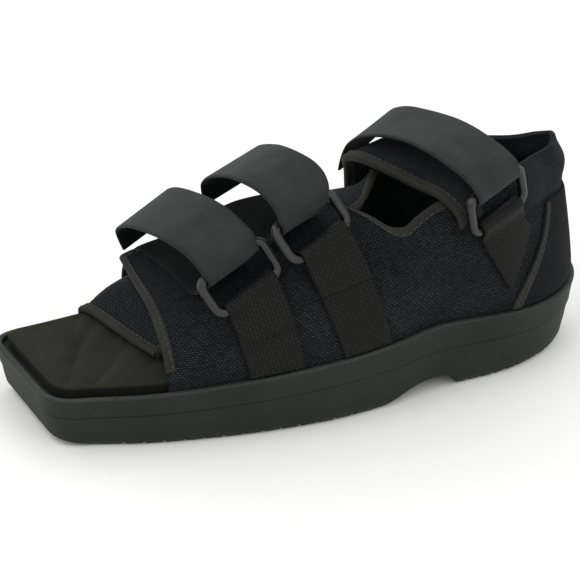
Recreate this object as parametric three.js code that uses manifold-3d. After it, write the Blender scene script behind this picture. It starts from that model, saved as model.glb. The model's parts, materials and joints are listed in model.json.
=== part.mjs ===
// Post operative shoe: a left shoe with an open square toe, three webbing straps and a moulded sole.
// Millimetres. +X runs to the toe, +Y to the outer side that carries the rings, +Z up, floor at z = 0.
import * as THREE from 'three';
import Module from 'manifold-3d';

const wasm = await Module();
wasm.setup();

// Driving sizes of the shoe
const soleLength = 296;
const ballWidth = 107.4;
const rimHeight = 39.3;
const collarHeight = 109;

// Sole unit
const rimWall = 3;
const trayDepth = 3;
const heelRoundness = 2;
const toeSlant = 0.104;
const toeReach = 0.6;
const toeCornerRadius = 14;
const partingShare = 0.62;
const partingStep = 0.6;
const archHeight = 8.5;
const toeSpring = 6.5;
const heelSpring = 3;
const grooveWidth = 2.8;
const grooveDepth = 2.2;
const forefootPitch = 9.3;
const heelPitch = 7.5;

// Upper and insole
const wallGap = 0.4;
const upperWall = 2.2;
const insoleRise = 3.8;
const insoleGap = 0.3;
const lapGap = 4.6;
const edgeTapeWidth = 5;
const edgeTapeStep = 0.6;
const collarPad = 3.2;
const collarPadDrop = 11;
const collarPadSpread = 7;

// Overlays, webbing and rings
const fitGap = 0.35;
const counterThickness = 1;
const counterTapeWidth = 4.5;
const counterTapeStep = 0.8;
const counterTop = 84;
const flapThickness = 4;
const strapWidth = 32;
const strapThickness = 1.8;
const keeperWidth = 29;
const keeperThickness = 1.4;
const keeperEase = 0.9;
const ringLength = 37;
const ringDepth = 18.5;
const ringBar = 4.5;
const bunched = 0.94;
const turnBack = 14;

// The rim's outline seen from above: shares of the sole's length and of the ball width
const outlineRows = [
  { along: -0.243, near: 0.457, far: 0.372 },
  { along: -0.172, near: 0.465, far: 0.382 },
  { along: -0.068, near: 0.523, far: 0.410 },
  { along: 0.034, near: 0.544, far: 0.433 },
  { along: 0.139, near: 0.526, far: 0.452 },
  { along: 0.240, near: 0.482, far: 0.447 },
  { along: 0.345, near: 0.414, far: 0.425 },
  { along: 0.432, near: 0.329, far: 0.411 },
  { along: 0.520, near: 0.262, far: 0.405 },
];

// Height of the rim's top along the sole: shares of the sole's length and of the rim height
const rimRows = [
  { along: -0.500, height: 0.931 },
  { along: -0.434, height: 0.905 },
  { along: -0.368, height: 0.911 },
  { along: -0.270, height: 0.965 },
  { along: -0.172, height: 1.000 },
  { along: 0.000, height: 0.926 },
  { along: 0.172, height: 0.840 },
  { along: 0.338, height: 0.761 },
  { along: 0.520, height: 0.710 },
];

// Height of the upper's top line along the shoe: shares of the sole's length and of the collar height
const crownRows = [
  { along: -0.500, height: 1.000 },
  { along: -0.450, height: 0.998 },
  { along: -0.400, height: 0.982 },
  { along: -0.300, height: 0.970 },
  { along: -0.240, height: 0.960 },
  { along: -0.170, height: 0.912 },
  { along: -0.134, height: 0.900 },
  { along: -0.036, height: 0.898 },
  { along: 0.000, height: 0.880 },
  { along: 0.068, height: 0.807 },
  { along: 0.137, height: 0.725 },
  { along: 0.206, height: 0.645 },
  { along: 0.260, height: 0.600 },
  { along: 0.293, height: 0.552 },
  { along: 0.314, height: 0.497 },
  { along: 0.334, height: 0.428 },
  { along: 0.370, height: 0.400 },
];

// Sections of the upper from the outer toe flap round the heel to the inner toe flap.
// along: share of the sole's length, or of the turn round the heel. reach: from the foot to the crown, edge: from
// the foot to the free edge, lean and fall: shares of the ball width. sink: how far the top lies under the top
// line, in lap gaps. slant: how far a section runs forward per unit inward.
const upperRows = [
  { side: 'near', along: 0.311, reach: 0.354, edge: 0.763, power: 1.5, lean: 0, fall: -0.02, sink: 0, slant: 0.18 },
  { side: 'near', along: 0.291, reach: 0.363, edge: 0.773, power: 1.9, lean: 0.01, fall: -0.005, sink: 0, slant: 0.18 },
  { side: 'near', along: 0.27, reach: 0.382, edge: 0.782, power: 2.2, lean: 0.02, fall: 0.01, sink: 0, slant: 0.17 },
  { side: 'near', along: 0.236, reach: 0.41, edge: 0.8, power: 2.3, lean: 0.02, fall: 0.025, sink: 0, slant: 0.15 },
  { side: 'near', along: 0.186, reach: 0.438, edge: 0.829, power: 2.4, lean: 0.03, fall: 0.04, sink: 0, slant: 0.13 },
  { side: 'near', along: 0.118, reach: 0.456, edge: 0.847, power: 2.3, lean: 0.03, fall: 0.05, sink: 0, slant: 0.1 },
  { side: 'near', along: 0.051, reach: 0.466, edge: 0.76, power: 2.2, lean: 0.03, fall: 0.04, sink: 0, slant: 0.08 },
  { side: 'near', along: 0, reach: 0.466, edge: 0.58, power: 2.2, lean: 0.03, fall: 0.01, sink: 0, slant: 0.05 },
  { side: 'near', along: -0.034, reach: 0.456, edge: 0.42, power: 2.25, lean: 0.03, fall: 0, sink: 0.15, slant: 0.03 },
  { side: 'near', along: -0.054, reach: 0.447, edge: 0.29, power: 2.3, lean: 0.02, fall: 0, sink: 0.35, slant: 0.01 },
  { side: 'near', along: -0.074, reach: 0.438, edge: 0.18, power: 2.4, lean: 0.02, fall: 0, sink: 0.85, slant: 0 },
  { side: 'near', along: -0.095, reach: 0.428, edge: 0.112, power: 2.5, lean: 0.02, fall: 0, sink: 1.45, slant: 0 },
  { side: 'near', along: -0.115, reach: 0.428, edge: 0.09, power: 2.6, lean: 0.02, fall: 0, sink: 1.55, slant: 0 },
  { side: 'near', along: -0.134, reach: 0.428, edge: 0.09, power: 2.8, lean: 0.02, fall: 0, sink: 0.9, slant: 0 },
  { side: 'near', along: -0.169, reach: 0.428, edge: 0.094, power: 3, lean: 0.02, fall: 0, sink: 0.1, slant: 0 },
  { side: 'near', along: -0.22, reach: 0.428, edge: 0.108, power: 3, lean: 0.02, fall: 0, sink: 0, slant: 0 },
  { side: 'heel', along: 0.11, reach: 0.428, edge: 0.16, power: 2.3, lean: 0.02, fall: 0, sink: 0, slant: 0 },
  { side: 'heel', along: 0.222, reach: 0.41, edge: 0.168, power: 1.6, lean: 0.01, fall: 0, sink: 0, slant: 0 },
  { side: 'heel', along: 0.361, reach: 0.38, edge: 0.122, power: 1.25, lean: 0, fall: 0, sink: 0, slant: 0 },
  { side: 'heel', along: 0.5, reach: 0.372, edge: 0.108, power: 1.15, lean: 0, fall: 0, sink: -0.1, slant: 0 },
  { side: 'heel', along: 0.639, reach: 0.38, edge: 0.122, power: 1.25, lean: 0, fall: 0, sink: 0.2, slant: 0 },
  { side: 'heel', along: 0.778, reach: 0.39, edge: 0.15, power: 1.6, lean: 0.01, fall: 0, sink: 0.4, slant: 0 },
  { side: 'heel', along: 0.89, reach: 0.4, edge: 0.13, power: 2.3, lean: 0.02, fall: 0, sink: 0.3, slant: 0 },
  { side: 'far', along: -0.23, reach: 0.41, edge: 0.108, power: 3, lean: 0.02, fall: 0, sink: 0.2, slant: 0 },
  { side: 'far', along: -0.182, reach: 0.41, edge: 0.12, power: 2.9, lean: 0.02, fall: 0, sink: 0.2, slant: 0 },
  { side: 'far', along: -0.15, reach: 0.41, edge: 0.19, power: 2.6, lean: 0.02, fall: 0, sink: 0.5, slant: 0 },
  { side: 'far', along: -0.122, reach: 0.41, edge: 0.33, power: 2.4, lean: 0.02, fall: 0, sink: 0.9, slant: 0 },
  { side: 'far', along: -0.091, reach: 0.41, edge: 0.47, power: 2.3, lean: 0.02, fall: 0.01, sink: 1, slant: -0.01 },
  { side: 'far', along: -0.051, reach: 0.419, edge: 0.53, power: 2.25, lean: 0.02, fall: 0.02, sink: 1, slant: -0.03 },
  { side: 'far', along: 0, reach: 0.419, edge: 0.56, power: 2.2, lean: 0.02, fall: 0.03, sink: 1, slant: -0.05 },
  { side: 'far', along: 0.051, reach: 0.428, edge: 0.58, power: 2.2, lean: 0.02, fall: 0.035, sink: 1, slant: -0.08 },
  { side: 'far', along: 0.118, reach: 0.428, edge: 0.6, power: 2.3, lean: 0.02, fall: 0.035, sink: 1, slant: -0.1 },
  { side: 'far', along: 0.186, reach: 0.419, edge: 0.61, power: 2.4, lean: 0.02, fall: 0.03, sink: 1, slant: -0.13 },
  { side: 'far', along: 0.253, reach: 0.391, edge: 0.62, power: 2.3, lean: 0.01, fall: 0.02, sink: 1.1, slant: -0.16 },
  { side: 'far', along: 0.304, reach: 0.317, edge: 0.63, power: 2.2, lean: 0.01, fall: 0.005, sink: 1.5, slant: -0.17 },
  { side: 'far', along: 0.363, reach: 0.15, edge: 0.64, power: 2, lean: 0, fall: -0.02, sink: 1.5, slant: -0.18 },
];

const lerp = (a, b, share) => a + (b - a) * share;
const clamp = (value, low, high) => Math.min(high, Math.max(low, value));
const add = (a, b, scale = 1) => [a[0] + b[0] * scale, a[1] + b[1] * scale, a[2] + b[2] * scale];
const dot = (a, b) => a[0] * b[0] + a[1] * b[1] + a[2] * b[2];
const cross = (a, b) => [a[1] * b[2] - a[2] * b[1], a[2] * b[0] - a[0] * b[2], a[0] * b[1] - a[1] * b[0]];
const unit = (a) => a.map((value) => value / Math.hypot(...a));

// A smooth curve through one column of a table, with no overshoot between its rows
function blend(rows, key, column, value) {
  const last = rows.length - 1;
  const at = clamp(value, rows[0][key], rows[last][key]);
  let i = 0;
  while (i < last - 1 && rows[i + 1][key] < at) i += 1;
  const slopeOf = (j) => (rows[j + 1][column] - rows[j][column]) / (rows[j + 1][key] - rows[j][key]);
  const slopeAt = (j) => {
    if (j === 0) return slopeOf(0);
    if (j === last) return slopeOf(last - 1);
    const before = slopeOf(j - 1);
    const after = slopeOf(j);
    return before * after <= 0 ? 0 : (2 * before * after) / (before + after);
  };
  const span = rows[i + 1][key] - rows[i][key];
  const s = (at - rows[i][key]) / span;
  const a = rows[i][column] * (1 + 2 * s) * (1 - s) ** 2 + rows[i + 1][column] * s * s * (3 - 2 * s);
  return a + span * (slopeAt(i) * s * (1 - s) ** 2 - slopeAt(i + 1) * s * s * (1 - s));
}

// The sole's plan
const heelStart = outlineRows[0].along * soleLength;
const heelReach = heelStart + soleLength / 2;
const toeX = soleLength / 2 + toeReach;
const sideShare = 0.37;

const rimTop = (x) => rimHeight * blend(rimRows, 'along', 'height', x / soleLength);
const crownLine = (x) => collarHeight * blend(crownRows, 'along', 'height', x / soleLength);

function sideY(x, side) {
  const half = ballWidth * blend(outlineRows, 'along', side, x / soleLength);
  return side === 'near' ? half : -half;
}

// Where a side would meet the slanted toe line
function toeCorner(side) {
  let x = toeX;
  for (let step = 0; step < 4; step += 1) x = toeX - toeSlant * sideY(x, side);
  return [x, sideY(x, side)];
}

const nearCorner = toeCorner('near');
const farCorner = toeCorner('far');
const nearStart = nearCorner[0] - toeCornerRadius;
const farStart = farCorner[0] - toeCornerRadius;

// The rim's outer edge from the near toe corner (0) round the heel (0.5) to the far toe corner (1)
function rimEdge(t) {
  if (t <= sideShare) {
    const x = lerp(nearStart, heelStart, t / sideShare);
    return [x, sideY(x, 'near')];
  }
  if (t >= 1 - sideShare) {
    const x = lerp(heelStart, farStart, (t - 1 + sideShare) / sideShare);
    return [x, sideY(x, 'far')];
  }
  const turn = (Math.PI * (t - sideShare)) / (1 - 2 * sideShare);
  const across = Math.abs(Math.cos(turn)) ** (2 / heelRoundness);
  const side = turn < Math.PI / 2 ? 'near' : 'far';
  return [heelStart - heelReach * Math.sin(turn) ** (2 / heelRoundness), sideY(heelStart, side) * across];
}

function inwardAt(t) {
  const step = 0.002;
  const a = rimEdge(clamp(t - step, 0, 1));
  const b = rimEdge(clamp(t + step, 0, 1));
  const length = Math.hypot(b[0] - a[0], b[1] - a[1]);
  return [-(b[1] - a[1]) / length, (b[0] - a[0]) / length];
}

// Share of the way round for a place that a table gives by side
function placeOf(row) {
  const x = row.along * soleLength;
  if (row.side === 'near') return (sideShare * (nearStart - x)) / (nearStart - heelStart);
  if (row.side === 'far') return 1 - (sideShare * (farStart - x)) / (farStart - heelStart);
  return sideShare + (1 - 2 * sideShare) * row.along;
}

// The closed outline, from the middle of the toe line round the near side, heel and far side
const cornerSteps = 6;
const frontSteps = 3;
const sideSteps = 24;
const heelSteps = 24;

function cornerCurve(start, corner, end) {
  const points = [];
  for (let i = 0; i < cornerSteps; i += 1) {
    const s = i / cornerSteps;
    points.push([0, 1].map((k) => start[k] * (1 - s) ** 2 + 2 * corner[k] * s * (1 - s) + end[k] * s * s));
  }
  return points;
}

function outlinePoints() {
  const onToe = (y) => [toeX - toeSlant * y, y];
  const middle = onToe((nearCorner[1] + farCorner[1]) / 2);
  const nearFront = onToe(nearCorner[1] - toeCornerRadius);
  const farFront = onToe(farCorner[1] + toeCornerRadius);
  const points = [];
  for (let i = 0; i < frontSteps; i += 1) {
    const s = i / frontSteps;
    points.push([lerp(middle[0], nearFront[0], s), lerp(middle[1], nearFront[1], s)]);
  }
  points.push(...cornerCurve(nearFront, nearCorner, rimEdge(0)));
  for (let i = 0; i < sideSteps; i += 1) points.push(rimEdge((sideShare * i) / sideSteps));
  for (let i = 0; i < heelSteps; i += 1) points.push(rimEdge(lerp(sideShare, 1 - sideShare, i / heelSteps)));
  for (let i = 0; i < sideSteps; i += 1) points.push(rimEdge(lerp(1 - sideShare, 1, i / sideSteps)));
  points.push(...cornerCurve(rimEdge(1), farCorner, farFront));
  for (let i = 0; i < frontSteps; i += 1) {
    const s = i / frontSteps;
    points.push([lerp(farFront[0], middle[0], s), lerp(farFront[1], middle[1], s)]);
  }
  return points;
}

const outline = outlinePoints().map((point, i, all) => {
  const before = all[(i + all.length - 1) % all.length];
  const after = all[(i + 1) % all.length];
  const length = Math.hypot(after[0] - before[0], after[1] - before[1]);
  return { at: point, inward: [-(after[1] - before[1]) / length, (after[0] - before[0]) / length] };
});

// One ring of the outline, drawn inward by inset, at a height given by the rim's own height there
function ring(inset, heightOf) {
  return outline.map(({ at, inward }) => {
    const x = at[0] + inward[0] * inset;
    return [x, at[1] + inward[1] * inset, heightOf(rimTop(at[0]))];
  });
}

function meshGeometry(points, faces) {
  const geometry = new THREE.BufferGeometry();
  geometry.setAttribute('position', new THREE.Float32BufferAttribute(points.flat(), 3));
  geometry.setIndex(faces.flat());
  return geometry;
}

// A closed body from rings of the outline, bottom first. Each end is closed by strips across the shoe.
function stackRings(rings) {
  const count = outline.length;
  const faces = [];
  rings.slice(1).forEach((_, level) => {
    for (let i = 0; i < count; i += 1) {
      const j = (i + 1) % count;
      const low = level * count;
      const high = low + count;
      faces.push([low + i, low + j, high + j], [low + i, high + j, high + i]);
    }
  });
  const closeEnd = (base, up) => {
    const strip = (a, b, c) => faces.push(up ? [base + a, base + b, base + c] : [base + a, base + c, base + b]);
    for (let i = 0; i < count / 2 - 1; i += 1) {
      const mirrored = (count - i) % count;
      if (i > 0) strip(i, i + 1, mirrored);
      strip(i + 1, count - i - 1, mirrored);
    }
    strip(count / 2 - 1, count / 2, count / 2 + 1);
  };
  closeEnd(0, false);
  closeEnd((rings.length - 1) * count, true);
  return meshGeometry(rings.flat(), dropEmpty(faces));
}

const dropEmpty = (faces) => faces.filter(([a, b, c]) => a !== b && b !== c && a !== c);

function toManifold(geometry) {
  return new wasm.Manifold(new wasm.Mesh({
    numProp: 3,
    vertProperties: new Float32Array(geometry.attributes.position.array),
    triVerts: new Uint32Array(geometry.index.array),
  }));
}

function fromManifold(solid) {
  const mesh = solid.getMesh();
  const geometry = new THREE.BufferGeometry();
  geometry.setAttribute('position', new THREE.Float32BufferAttribute(mesh.vertProperties, 3));
  geometry.setIndex(Array.from(mesh.triVerts));
  return geometry;
}

// A bar across the whole sole whose end outline lies in the XZ plane
function acrossBar(profile) {
  const span = 2 * ballWidth;
  const shape = new THREE.Shape(profile.map(([x, z]) => new THREE.Vector2(x, z)));
  const bar = new THREE.ExtrudeGeometry(shape, { depth: span, bevelEnabled: false });
  bar.rotateX(Math.PI / 2);
  bar.translate(0, span / 2, 0);
  bar.deleteAttribute('normal');
  bar.deleteAttribute('uv');
  return weld(bar);
}

// Merges equal corners of an extruded body so that it is one closed mesh
function weld(geometry) {
  const position = geometry.attributes.position;
  const seen = new Map();
  const points = [];
  const order = [];
  for (let i = 0; i < position.count; i += 1) {
    const point = [position.getX(i), position.getY(i), position.getZ(i)];
    const key = point.map((value) => value.toFixed(4)).join(' ');
    if (!seen.has(key)) {
      seen.set(key, points.length);
      points.push(point);
    }
    order.push(seen.get(key));
  }
  const index = geometry.index ? Array.from(geometry.index.array).map((i) => order[i]) : order;
  const faces = [];
  for (let i = 0; i < index.length; i += 3) faces.push(index.slice(i, i + 3));
  return meshGeometry(points, dropEmpty(faces));
}

// Arch, toe spring and heel spring: shares of the sole's length, and of each rise
const archRows = [
  { along: -0.050, rise: 0 },
  { along: -0.075, rise: 0.30 },
  { along: -0.104, rise: 0.70 },
  { along: -0.135, rise: 0.96 },
  { along: -0.155, rise: 1 },
  { along: -0.186, rise: 0.95 },
  { along: -0.203, rise: 0.58 },
  { along: -0.214, rise: 0 },
];
const toeSpringRows = [
  { along: 0.385, rise: 0 },
  { along: 0.430, rise: 0.22 },
  { along: 0.470, rise: 0.62 },
  { along: 0.500, rise: 1.00 },
  { along: 0.560, rise: 1.90 },
];
const heelSpringRows = [
  { along: -0.430, rise: 0 },
  { along: -0.470, rise: 0.35 },
  { along: -0.520, rise: 1.30 },
];
const forefootTread = { from: 0.375, to: -0.030 };
const heelTread = { from: -0.232, to: -0.420 };

function springCut(rows, rise) {
  const below = -rise;
  const edge = rows.map((row) => [row.along * soleLength, row.rise * rise]);
  const first = edge[0];
  const last = edge[edge.length - 1];
  return acrossBar([[first[0], below], ...edge, [last[0], below]]);
}

function treadCuts(span, pitch) {
  const cuts = [];
  const from = span.from * soleLength;
  const to = span.to * soleLength;
  for (let x = from; x > to; x -= pitch) {
    const half = grooveWidth / 2;
    cuts.push(acrossBar([[x - half, -1], [x + half, -1], [x + half * 0.7, grooveDepth], [x - half * 0.7, grooveDepth]]));
  }
  return cuts;
}

function soleGeometry() {
  const line = (share, offset) => (rim) => rim * share + offset;
  const blank = toManifold(stackRings([
    ring(8.2, () => 0),
    ring(6.0, () => 1.3),
    ring(4.6, () => 4.5),
    ring(2.1, line(partingShare, -0.4)),
    ring(2.1 - partingStep, line(partingShare, 0.4)),
    ring(0.4, line(1, -3)),
    ring(0, line(1, -1)),
    ring(0.5, line(1, -0.2)),
    ring(1.2, line(1, 0)),
    ring(rimWall - 0.6, line(1, 0)),
    ring(rimWall, line(1, -0.5)),
    ring(rimWall, line(1, -trayDepth)),
  ]));
  const cuts = [
    springCut(archRows, archHeight),
    springCut(toeSpringRows, toeSpring),
    springCut(heelSpringRows, heelSpring),
    ...treadCuts(forefootTread, forefootPitch),
    ...treadCuts(heelTread, heelPitch),
  ];
  return fromManifold(cuts.reduce((solid, cut) => solid.subtract(toManifold(cut)), blank));
}

const wallInset = rimWall + wallGap;
const insoleInset = wallInset + upperWall + wallGap;

function insoleGeometry() {
  const top = (rim) => rim + insoleRise;
  return stackRings([
    ring(insoleInset, (rim) => rim - trayDepth + insoleGap),
    ring(insoleInset, (rim) => top(rim) - 1),
    ring(insoleInset + 0.9, top),
  ]);
}

// The upper's own surface
const sections = upperRows.map((row) => ({ ...row, place: placeOf(row) }));
const sectionValue = (t, column) => blend(sections, 'place', column, t);

// The section at a place: a straight stretch in the tray, a rounded wall to the crown and a flap past it
const profiles = new Map();

function profileAt(t) {
  if (!profiles.has(t)) profiles.set(t, makeProfile(t));
  return profiles.get(t);
}

function makeProfile(t) {
  const [rimX, rimY] = rimEdge(t);
  const inward = inwardAt(t);
  const slant = sectionValue(t, 'slant');
  const direction = unit([inward[0] + slant, inward[1], 0]);
  const foot = [rimX + inward[0] * wallInset, rimY + inward[1] * wallInset];
  const rim = rimTop(rimX);
  const base = rim + insoleRise + wallGap;
  const reach = ballWidth * sectionValue(t, 'reach');
  const edge = ballWidth * sectionValue(t, 'edge');
  const power = sectionValue(t, 'power');
  const lean = ballWidth * sectionValue(t, 'lean');
  const fall = ballWidth * sectionValue(t, 'fall');
  const cut = edge < reach ? (1 - (1 - edge / reach) ** power) ** (1 / power) : 1;
  const topX = foot[0] + direction[0] * Math.min(edge, reach);
  const top = crownLine(topX) - lapGap * sectionValue(t, 'sink');
  const height = (top - base) / cut;
  const points = [[0, rim - trayDepth + insoleGap], [0, base]];
  const steps = 40;
  const last = edge < reach ? Math.asin(clamp(cut ** (power / 2), 0, 1)) : Math.PI / 2;
  for (let i = 1; i <= steps; i += 1) {
    const angle = (last * i) / steps;
    const up = Math.sin(angle) ** (2 / power);
    points.push([reach * (1 - Math.cos(angle) ** (2 / power)) + lean * up * (1 - up), base + height * up]);
  }
  if (edge > reach) {
    for (let i = 1; i <= 16; i += 1) {
      const share = i / 16;
      points.push([lerp(reach, edge, share), base + height - fall * share * share]);
    }
  }
  const lengths = [0];
  for (let i = 1; i < points.length; i += 1) {
    lengths.push(lengths[i - 1] + Math.hypot(points[i][0] - points[i - 1][0], points[i][1] - points[i - 1][1]));
  }
  return { foot, direction, base, rim, points, lengths, total: lengths[lengths.length - 1] };
}

function alongProfile(profile, distance) {
  const { foot, direction, points, lengths } = profile;
  const at = clamp(distance, 0, profile.total);
  let i = 0;
  while (i < lengths.length - 2 && lengths[i + 1] < at) i += 1;
  const share = (at - lengths[i]) / (lengths[i + 1] - lengths[i]);
  const inward = lerp(points[i][0], points[i + 1][0], share);
  const z = lerp(points[i][1], points[i + 1][1], share);
  return [foot[0] + direction[0] * inward, foot[1] + direction[1] * inward, z];
}

// A point of the upper's outer surface, with its outward normal: at a share of the way round and a distance
// along the wall from its foot
function wallPoint(t, distance) {
  const stepT = 0.0015;
  const stepD = 0.4;
  const profile = profileAt(t);
  const at = clamp(distance, 0, profile.total);
  const tangentUp = add(
    alongProfile(profile, Math.min(at + stepD, profile.total)),
    alongProfile(profile, Math.max(at - stepD, 0)),
    -1,
  );
  const share = at / profile.total;
  const ahead = profileAt(Math.min(t + stepT, 1));
  const behind = profileAt(Math.max(t - stepT, 0));
  const tangentRound = add(
    alongProfile(ahead, share * ahead.total),
    alongProfile(behind, share * behind.total),
    -1,
  );
  return { at: alongProfile(profile, at), out: unit(cross(tangentRound, tangentUp)) };
}

// A closed sheet from a grid of outer points and the matching grid of inner points
function sheetGeometry(outer, inner) {
  const rows = outer.length;
  const columns = outer[0].length;
  const points = [...outer.flat(), ...inner.flat()];
  const o = (i, j) => i * columns + j;
  const n = (i, j) => rows * columns + i * columns + j;
  const faces = [];
  for (let i = 0; i < rows - 1; i += 1) {
    for (let j = 0; j < columns - 1; j += 1) {
      faces.push([o(i, j), o(i + 1, j), o(i + 1, j + 1)], [o(i, j), o(i + 1, j + 1), o(i, j + 1)]);
      faces.push([n(i, j), n(i + 1, j + 1), n(i + 1, j)], [n(i, j), n(i, j + 1), n(i + 1, j + 1)]);
    }
    const last = columns - 1;
    faces.push([o(i, 0), n(i, 0), n(i + 1, 0)], [o(i, 0), n(i + 1, 0), o(i + 1, 0)]);
    faces.push([o(i, last), n(i + 1, last), n(i, last)], [o(i, last), o(i + 1, last), n(i + 1, last)]);
  }
  for (let j = 0; j < columns - 1; j += 1) {
    const last = rows - 1;
    faces.push([o(0, j), o(0, j + 1), n(0, j + 1)], [o(0, j), n(0, j + 1), n(0, j)]);
    faces.push([o(last, j), n(last, j + 1), o(last, j + 1)], [o(last, j), n(last, j), n(last, j + 1)]);
  }
  return meshGeometry(points, faces);
}

const upperStart = placeOf(upperRows[0]);
const upperEnd = placeOf(upperRows[upperRows.length - 1]);

// Shares of the way round at which the upper has a column, closer where its top edge turns
function upperColumns() {
  const throat = placeOf({ side: 'near', along: -0.03 });
  const ankle = placeOf({ side: 'near', along: -0.17 });
  const farAnkle = placeOf({ side: 'far', along: -0.19 });
  const farThroat = placeOf({ side: 'far', along: -0.05 });
  const stops = [
    { from: upperStart, to: throat, steps: 15 },
    { from: throat, to: ankle, steps: 9 },
    { from: ankle, to: farAnkle, steps: 18 },
    { from: farAnkle, to: farThroat, steps: 6 },
    { from: farThroat, to: upperEnd, steps: 12 },
  ];
  const places = [];
  stops.forEach(({ from, to, steps }) => {
    for (let i = 0; i < steps; i += 1) places.push(lerp(from, to, i / steps));
  });
  places.push(upperEnd);
  return places;
}

// How far the padded collar swells, by place and by distance below the free edge
function collarSwell(t, below) {
  const round = Math.sin(Math.PI * clamp((t - 0.33) / 0.34, 0, 1));
  const share = Math.min(1, 2 * Math.max(0, round));
  return collarPad * share * Math.exp(-(((below - collarPadDrop) / collarPadSpread) ** 2));
}

const upperLevels = 11;

function upperGeometry() {
  const outer = [];
  const inner = [];
  upperColumns().forEach((t) => {
    const profile = profileAt(t);
    const base = profile.lengths[1];
    const total = profile.total;
    const distances = [0];
    for (let i = 0; i <= upperLevels; i += 1) distances.push(lerp(base, total - edgeTapeWidth - 0.8, i / upperLevels));
    distances.push(total - edgeTapeWidth, total - edgeTapeWidth / 2, total);
    const outerColumn = [];
    const innerColumn = [];
    distances.forEach((distance, k) => {
      const { at, out } = wallPoint(t, distance);
      const taped = k > upperLevels + 1 ? edgeTapeStep : 0;
      const swell = collarSwell(t, total - distance);
      outerColumn.push(add(at, out, swell + taped));
      innerColumn.push(add(at, out, -upperWall - swell * 0.6));
    });
    outer.push(outerColumn);
    inner.push(innerColumn);
  });
  return sheetGeometry(outer, inner);
}

// Rings: the middle of the lower bar is given by its place along the near wall and its height on it, the bar's
// yaw and slope and the lean of the ring's sides in degrees
const ringRows = [
  { name: 'ring_1', along: 0.162, height: 0.620, yaw: 12, slope: -23.0, lean: 28, rise: 1.7 },
  { name: 'ring_2', along: 0.033, height: 0.770, yaw: 19, slope: -15.5, lean: 38, rise: 2.8 },
  { name: 'ring_3', along: -0.261, height: 0.820, yaw: 21, slope: -12.5, lean: 4, rise: 1.9 },
];

// Straps above their rings, seen from the top bar's middle: shares of the ball width, and degrees
const archRowsByStrap = [
  [
    { across: -0.040, forward: 0.012, rise: 0.044, yaw: 12, slope: -26 },
    { across: -0.003, forward: 0.040, rise: 0.086, yaw: 15, slope: -21 },
    { across: 0.071, forward: 0.074, rise: 0.120, yaw: 14, slope: -22 },
    { across: 0.182, forward: 0.106, rise: 0.128, yaw: 13, slope: -23 },
    { across: 0.339, forward: 0.131, rise: 0.101, yaw: 12, slope: -24 },
    { across: 0.479, forward: 0.148, rise: 0.064, yaw: 11, slope: -25 },
    { across: 0.573, forward: 0.155, rise: 0.027, yaw: 10, slope: -26 },
    { across: 0.662, forward: 0.152, rise: -0.024, yaw: 9, slope: -26 },
    { across: 0.715, forward: 0.140, rise: -0.072, yaw: 8, slope: -26 },
    { across: 0.740, forward: 0.118, rise: -0.128, yaw: 8, slope: -26 },
    { across: 0.746, forward: 0.096, rise: -0.180, yaw: 8, slope: -26 },
  ],
  [
    { across: -0.040, forward: 0.000, rise: 0.030, yaw: 18, slope: -17 },
    { across: -0.048, forward: 0.014, rise: 0.080, yaw: 16, slope: -15 },
    { across: -0.020, forward: 0.030, rise: 0.122, yaw: 12, slope: -16 },
    { across: 0.040, forward: 0.052, rise: 0.150, yaw: 10, slope: -16 },
    { across: 0.140, forward: 0.078, rise: 0.154, yaw: 10, slope: -16 },
    { across: 0.262, forward: 0.096, rise: 0.134, yaw: 10, slope: -17 },
    { across: 0.356, forward: 0.100, rise: 0.102, yaw: 10, slope: -18 },
    { across: 0.490, forward: 0.102, rise: 0.044, yaw: 9, slope: -19 },
    { across: 0.585, forward: 0.098, rise: -0.020, yaw: 8, slope: -20 },
    { across: 0.628, forward: 0.088, rise: -0.070, yaw: 8, slope: -20 },
    { across: 0.646, forward: 0.072, rise: -0.128, yaw: 8, slope: -20 },
    { across: 0.654, forward: 0.060, rise: -0.168, yaw: 8, slope: -20 },
  ],
  [
    { across: -0.030, forward: 0.008, rise: 0.046, yaw: 22, slope: -11 },
    { across: 0.006, forward: 0.034, rise: 0.084, yaw: 20, slope: -9 },
    { across: 0.090, forward: 0.068, rise: 0.116, yaw: 17, slope: -8 },
    { across: 0.207, forward: 0.102, rise: 0.136, yaw: 13, slope: -8 },
    { across: 0.342, forward: 0.128, rise: 0.134, yaw: 9, slope: -9 },
    { across: 0.480, forward: 0.154, rise: 0.113, yaw: 7, slope: -11 },
    { across: 0.600, forward: 0.180, rise: 0.083, yaw: 7, slope: -15 },
    { across: 0.703, forward: 0.200, rise: 0.048, yaw: 8, slope: -20 },
    { across: 0.800, forward: 0.220, rise: -0.012, yaw: 9, slope: -26 },
    { across: 0.852, forward: 0.228, rise: -0.084, yaw: 10, slope: -30 },
    { across: 0.876, forward: 0.232, rise: -0.156, yaw: 10, slope: -32 },
  ],
];

const radians = THREE.MathUtils.degToRad;

// The direction of a webbing's width, rear to front
const widthAxis = (yaw, slope) => [
  Math.cos(radians(yaw)) * Math.cos(radians(slope)),
  Math.sin(radians(yaw)) * Math.cos(radians(slope)),
  Math.sin(radians(slope)),
];

// The near wall at a place along the shoe and a height above the floor
function nearWallAt(x, z) {
  let low = 0.01;
  let high = 0.5;
  let found = null;
  for (let step = 0; step < 26; step += 1) {
    const t = (low + high) / 2;
    found = wallAtHeight(t, z);
    if (found.at[0] > x) low = t;
    else high = t;
  }
  return found;
}

function wallAtHeight(t, z) {
  const { points, lengths } = profileAt(t);
  let i = 0;
  while (i < points.length - 2 && points[i + 1][1] < z) i += 1;
  const share = clamp((z - points[i][1]) / (points[i + 1][1] - points[i][1]), 0, 1);
  return wallPoint(t, lerp(lengths[i], lengths[i + 1], share));
}

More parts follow.
